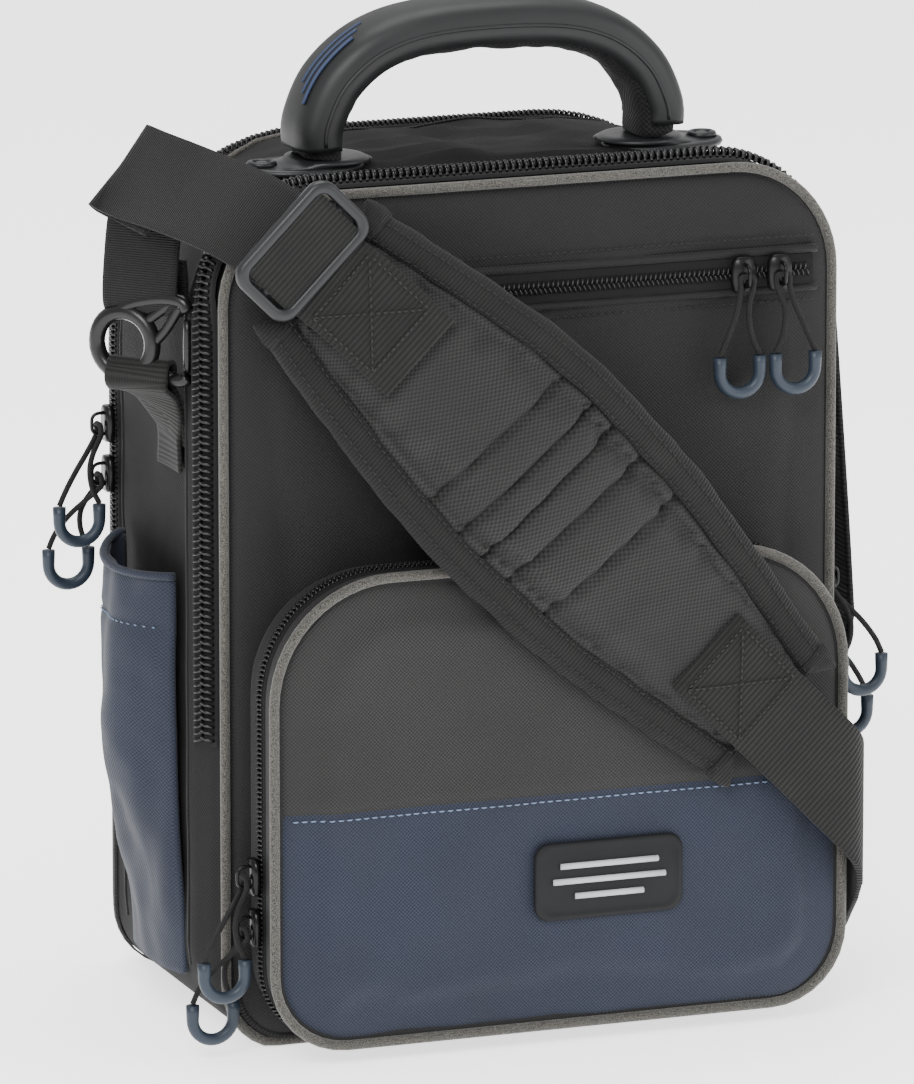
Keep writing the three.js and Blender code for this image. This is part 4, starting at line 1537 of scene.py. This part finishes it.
def strap_up_side():
    """The strap's turn under the right edge and its rise to the right hook."""
    bend_at, bend_z, bend_radius = 128.8, 96, 55
    stations = [(80, 67, 1, 1), (85, 62, 1, 1)]
    for step in range(7):
        angle = math.radians(225 + 22.5 * step)
        d, z = math.cos(angle), math.sin(angle)
        stations.append((bend_at + bend_radius * d, bend_z + bend_radius * z, -d, -z))
    rows = wrapped_rows(stations, 110)
    for point in smooth_line([
        (153, 7, 140), (149.5, 5, 180), (144.5, 1, 225), (138.5, -5, 268), (133.5, HOOK_Y, 293),
    ], 50):
        rows.append([(point.x, point.y - share * WEBBING / 2, point.z) for share in WEB_SHARES])
    strip = webbing_from_rows("strap_side", rows, WEB)
    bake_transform(strip)
    stand_for(["strap_side_webbing"])


def tri_glide():
    """Moulded buckle: a rounded frame with a bar across the middle."""
    centre = Vector((-103, -86, 317))
    short_way = Vector((1, 0, -1)).normalized()
    out = Vector(FORWARD)
    section = (
        (26, 15, 7, -2.2), (26.4, 15.4, 7.4, 0), (26, 15, 7, 1.9), (25, 14, 6.4, 2.5),
        (22.8, 11.8, 4.8, 2.5), (22, 11, 4.4, 1.8), (22, 11, 4.4, -2.2),
    )
    rows = []
    for half_long, half_short, radius, height in section:
        rows.append([
            tuple(centre + ACROSS * a + short_way * b + out * height)
            for a, b in rounded_rectangle(half_long, half_short, radius)
        ])
    ring = grid("glide_frame", rows, [PLASTIC], closed_along=True)
    bar_line = [centre + ACROSS * a - out * 0.8 for a in range(-22, 23, 4)]
    bar = sweep("glide_bar", bar_line, 2.2, [PLASTIC], 10)
    place(merge("tri_glide_moulded", [ring, bar]), "strap_glide", ["tri_glide"], "moulded_plastic")
    window = [(centre + out * 0.9 + short_way * a, ACROSS) for a in (-11, -7, 0, 7, 11)]
    weave = ribbon("glide_webbing", window, WEB, width=41, thickness=1.4, count=24)
    place(weave, "strap_glide", slot="webbing")


pad()
strap_top_end()
strap_over_corner()
strap_hook_loops()
strap_low_end()
strap_up_side()
tri_glide()


# =====================================================================================
# Hooks and anchor tabs
# =====================================================================================
HOOK_TURN = Matrix.Rotation(math.radians(45), 3, "Z")
HOOK_PIVOT = Vector((2.5 - HOOK_X, HOOK_Y - 20, 0))


def hook_point(side, along, z, out=0.0):
    """A point on a hook: along its bar from the front, up, and out from the bag."""
    point = Vector((side * (HOOK_X + out), HOOK_Y - 21.5 + along, z))
    if side > 0:
        return point
    return HOOK_TURN @ (point - HOOK_PIVOT) + HOOK_PIVOT


def hook(side, word):
    """Moulded snap hook: a round eye at one end, open triangles beside it, and a bar for the strap."""
    eye = []
    for k in range(32):
        angle = 2 * math.pi * k / 32
        eye.append(hook_point(side, 28.5 + 11.8 * math.cos(angle), 270.5 + 12.2 * math.sin(angle)))
    parts = [sweep(f"hook_eye_{word}", eye, 3.2, [HOOK_PLASTIC], 12, closed=True)]
    beams = (
        (2.7, ((34, 281), (24, 286.5), (12, 289), (4, 288.4), (1.8, 285))),
        (2.7, ((33, 260), (22, 257.4), (12, 257.6), (4, 258), (1.8, 259.5))),
        (2.0, ((20, 279), (14, 283.5), (8, 288))),
        (2.0, ((17.5, 270), (11, 277), (4.5, 287))),
        (2.0, ((19, 263), (12, 260.5), (7, 258))),
    )
    for number, (radius, beam) in enumerate(beams):
        line = smooth_line([hook_point(side, along, z) for along, z in beam], 16)
        parts.append(sweep(f"hook_beam_{word}_{number}", line, radius, [HOOK_PLASTIC], 10))
    body = merge(f"snap_hook_{word}_moulded", parts)
    place(body, f"{word}_hook", [f"snap_hook_{word}"], "moulded_plastic")
    line = [hook_point(side, 1.9, z) for z in (261.2, 264, 268, 273, 277, 281.4)]
    gate = sweep(
        f"hook_gate_{word}_moulded", line, lambda t: 1.2 + 0.5 * math.sin(math.pi * t), [HOOK_PLASTIC], 10,
    )
    place(gate, f"{word}_gate", [f"hook_gate_{word}"], "moulded_plastic")


def anchor_tab(side, word):
    """Ribbed webbing sewn to the gusset, looped round the hook's lower bar."""
    flat = BACKWARD
    turned = (-0.707, 0.707, 0) if side < 0 else flat
    partly = (-0.4, 0.9, 0) if side < 0 else flat
    sewn = side * (BAG_HALF + 4.2)
    loop = [tuple(hook_point(side, 21.5, z, out)) for z, out in (
        (255, 3.4), (262, 3.5), (264.6, 0), (262, -3.5), (255, -3.4),
    )]
    turn_out = (Vector(loop[0]) + Vector((sewn, HOOK_Y, 243))) / 2
    turn_in = (Vector(loop[4]) + Vector((sewn, HOOK_Y, 241))) / 2
    line = [
        ((sewn, HOOK_Y, 220), flat), ((sewn + side * 0.8, HOOK_Y, 236), flat), (tuple(turn_out), partly),
        *[(spot, turned) for spot in loop], (tuple(turn_in), partly), ((sewn - side, HOOK_Y, 232), flat),
    ]
    strip = ribbon(f"anchor_webbing_{word}", line, WEB, width=26, thickness=1.4, count=70)
    place(strip, "bag", [f"anchor_tab_{word}"], "webbing")


for hand, side_word in ((-1, "left"), (1, "right")):
    hook(hand, side_word)
    anchor_tab(hand, side_word)


# =====================================================================================
# Badge, inner pieces
# =====================================================================================
BADGE_X, BADGE_Z = 17, 66


def badge():
    """Plain rubber patch with bars: a stand-in with no mark or wording."""
    rows = []
    for grow, y in ((0, -95.0), (0.4, -96.6), (-0.3, -97.6), (-1.6, -97.8), (-2.2, -97.3), (-4, -97.3)):
        edge = rounded_rectangle(30 + grow, 15 + grow, 6)
        rows.append([(BADGE_X + x, y, BADGE_Z + z) for x, z in edge])
    plate = grid("badge_plate", rows, [PATCH], caps=True)
    bars = []
    for number, (rise, half) in enumerate(((6, 20), (0, 23), (-6, 14))):
        line = [(BADGE_X + x, -97.6, BADGE_Z + rise) for x in (-half, -half * 0.4, half * 0.4, half)]
        bars.append(sweep(f"badge_bar_{number}", line, 1.2, [PATCH_BARS], 8))
    place(merge("badge_moulded", [plate, *bars]), "bag", ["badge_patch"], "patch_rubber")


badge()
for node, material in (("base_board", BOARD), ("padded_divider", LINING), ("back_wall", LINING)):
    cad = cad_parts[node]
    cad.data.materials.clear()
    cad.data.materials.append(material)


# =====================================================================================
# Zip sliders and pulls
# =====================================================================================
EYE_OUT = 5.6
CORD_DROP = 30
CORD_THICK = 2.2
GRIP_RADIUS = 8.2


def flat_pull(sideways):
    """A pull that hangs flat: middle sideways, middle out, spread sideways, spread out."""
    return sideways, 8.5, 1, 0


def standing_pull(sideways):
    """A pull that stands off the bag and hangs edge on, its own side's leg nearer to the bag."""
    return sideways, 16, 0, -math.copysign(1, sideways)


def slider_body(name):
    """Built on a face that looks along -Y: a waisted body and the bridge that holds the cord."""
    rows = []
    base, top = -0.5, -3.3
    middle = (base + top) / 2
    for z, half in ((-7, 3.4), (-6, 4.4), (-2, 4.9), (2, 4.9), (5.4, 4.2), (7, 2.6)):
        rows.append([
            (-half, base, z), (half, base, z), (half + 0.2, middle, z), (half - 0.6, top + 0.1, z),
            (-half + 0.6, top + 0.1, z), (-half - 0.2, middle, z),
        ])
    body = grid(f"{name}_body", rows, [LACQUER], caps=True)
    arch = smooth_line([
        (0, -3.0, -4.2), (0, -6.2, -4.0), (0, -8.0, -2.6), (0, -8.3, 0), (0, -8.0, 2.6),
        (0, -6.2, 4.0), (0, -3.0, 4.2),
    ], 20)
    bridge = sweep(f"{name}_bridge", arch, 0.75, [LACQUER], 8, up=(1, 0, 0))
    return merge(name, [body, bridge])


def cord_line(shape):
    """The cord's middle line: down one leg from the grip, through the slider's bridge, and back."""
    middle, out, spread_x, spread_out = shape

    def point(share, side, twist, spread, z):
        return (
            middle * share + side * (2.6 * (1 - twist) + spread * twist * spread_x),
            -(EYE_OUT + (out - EYE_OUT) * share + side * spread * twist * spread_out),
            z,
        )

    def leg(side):
        return [
            point(0, side, 0, 0, -0.7), point(0, side, 0, 0, -4.6), point(0.45, side, 0.45, 1.8, -11),
            point(0.8, side, 0.75, 3.4, -17), point(1, side, 0.95, 5.6, -24),
            point(1, side, 1, GRIP_RADIUS, -CORD_DROP),
        ]

    return smooth_line([*reversed(leg(-1)), (0, -EYE_OUT, -0.2), *leg(1)], 44)


def grip_line(shape):
    """The U of the rubber grip, from one cord end round to the other."""
    middle, out, spread_x, spread_out = shape
    top = -CORD_DROP - 0.6

    def point(spread, z):
        return middle + spread * spread_x, -out - spread * spread_out, z

    line = [point(-GRIP_RADIUS, top), point(-GRIP_RADIUS, top - 3)]
    for step in range(17):
        angle = math.pi * (1 + step / 16)
        line.append(point(GRIP_RADIUS * math.cos(angle), top - 6 + GRIP_RADIUS * math.sin(angle)))
    return line + [point(GRIP_RADIUS, top - 3), point(GRIP_RADIUS, top)]


def cord_curve(name, line):
    curve = bpy.data.curves.new(name, "CURVE")
    curve.dimensions = "3D"
    curve.bevel_depth = CORD_THICK / 2 * MM
    curve.bevel_resolution = 3
    curve.use_fill_caps = True
    spline = curve.splines.new("POLY")
    spline.points.add(len(line) - 1)
    for point, position in zip(spline.points, line):
        point.co = (*(position * MM), 1)
    curve.materials.append(CORD)
    cord = bpy.data.objects.new(name, curve)
    bpy.context.scene.collection.objects.link(cord)
    return cord


def pull(zip_name, letter, turn, spot, shape):
    """A slider with its cord and grip, turned about Z and moved to its spot."""
    spin = Matrix.Rotation(math.radians(turn), 3, "Z")
    move = Vector(spot)

    def to_place(point):
        return spin @ Vector(point) + move

    tag = f"{zip_name}_{letter}"
    body = slider_body(f"{tag}_slider_metal")
    for vertex in body.data.vertices:
        vertex.co = to_place(vertex.co / MM) * MM
    place(body, f"{zip_name}_slider_{letter}", [f"{zip_name}_slider_{letter}"], "slider_metal")

    line = [to_place(p) for p in cord_line(shape)]
    cord = cord_curve(f"{tag}_cord_braid", line)
    grip = sweep(f"{tag}_grip_rubber", [to_place(p) for p in grip_line(shape)],
                 lambda t: 2.35 + 0.25 * ramp(abs(t - 0.5), 0.36, 0.5), [SLATE], 14)
    place(cord, f"{zip_name}_pull_{letter}", [f"{zip_name}_cord_{letter}"], "braided_cord")
    place(grip, f"{zip_name}_pull_{letter}", [f"{zip_name}_grip_{letter}"], "slate_rubber")


BAND_OUT = BAG_HALF + 2.3
POCKET_OUT = POCKET_HALF + 2.3
LANE = 7
ZIPS = (
    ("main", 90, (BAND_OUT, MAIN_ZIP_Y, 162), standing_pull(-LANE), (BAND_OUT, MAIN_ZIP_Y, 142),
     standing_pull(LANE)),
    ("rear", -90, (-BAND_OUT, REAR_ZIP_Y, 222), standing_pull(LANE), (-BAND_OUT, REAR_ZIP_Y, 202),
     standing_pull(-LANE)),
    ("pocket", -90, (-POCKET_OUT, POCKET_ZIP_Y, 73), standing_pull(LANE),
     (-POCKET_OUT, POCKET_ZIP_Y, 53), standing_pull(-LANE)),
    ("upper", 0, (84, -63.6, UPPER_ZIP_Z), flat_pull(-4), (99, -63.6, UPPER_ZIP_Z), flat_pull(4)),
)
for zip_word, zip_turn, first, first_shape, second, second_shape in ZIPS:
    pull(zip_word, "a", zip_turn, first, first_shape)
    pull(zip_word, "b", zip_turn, second, second_shape)

bpy.context.view_layer.update()
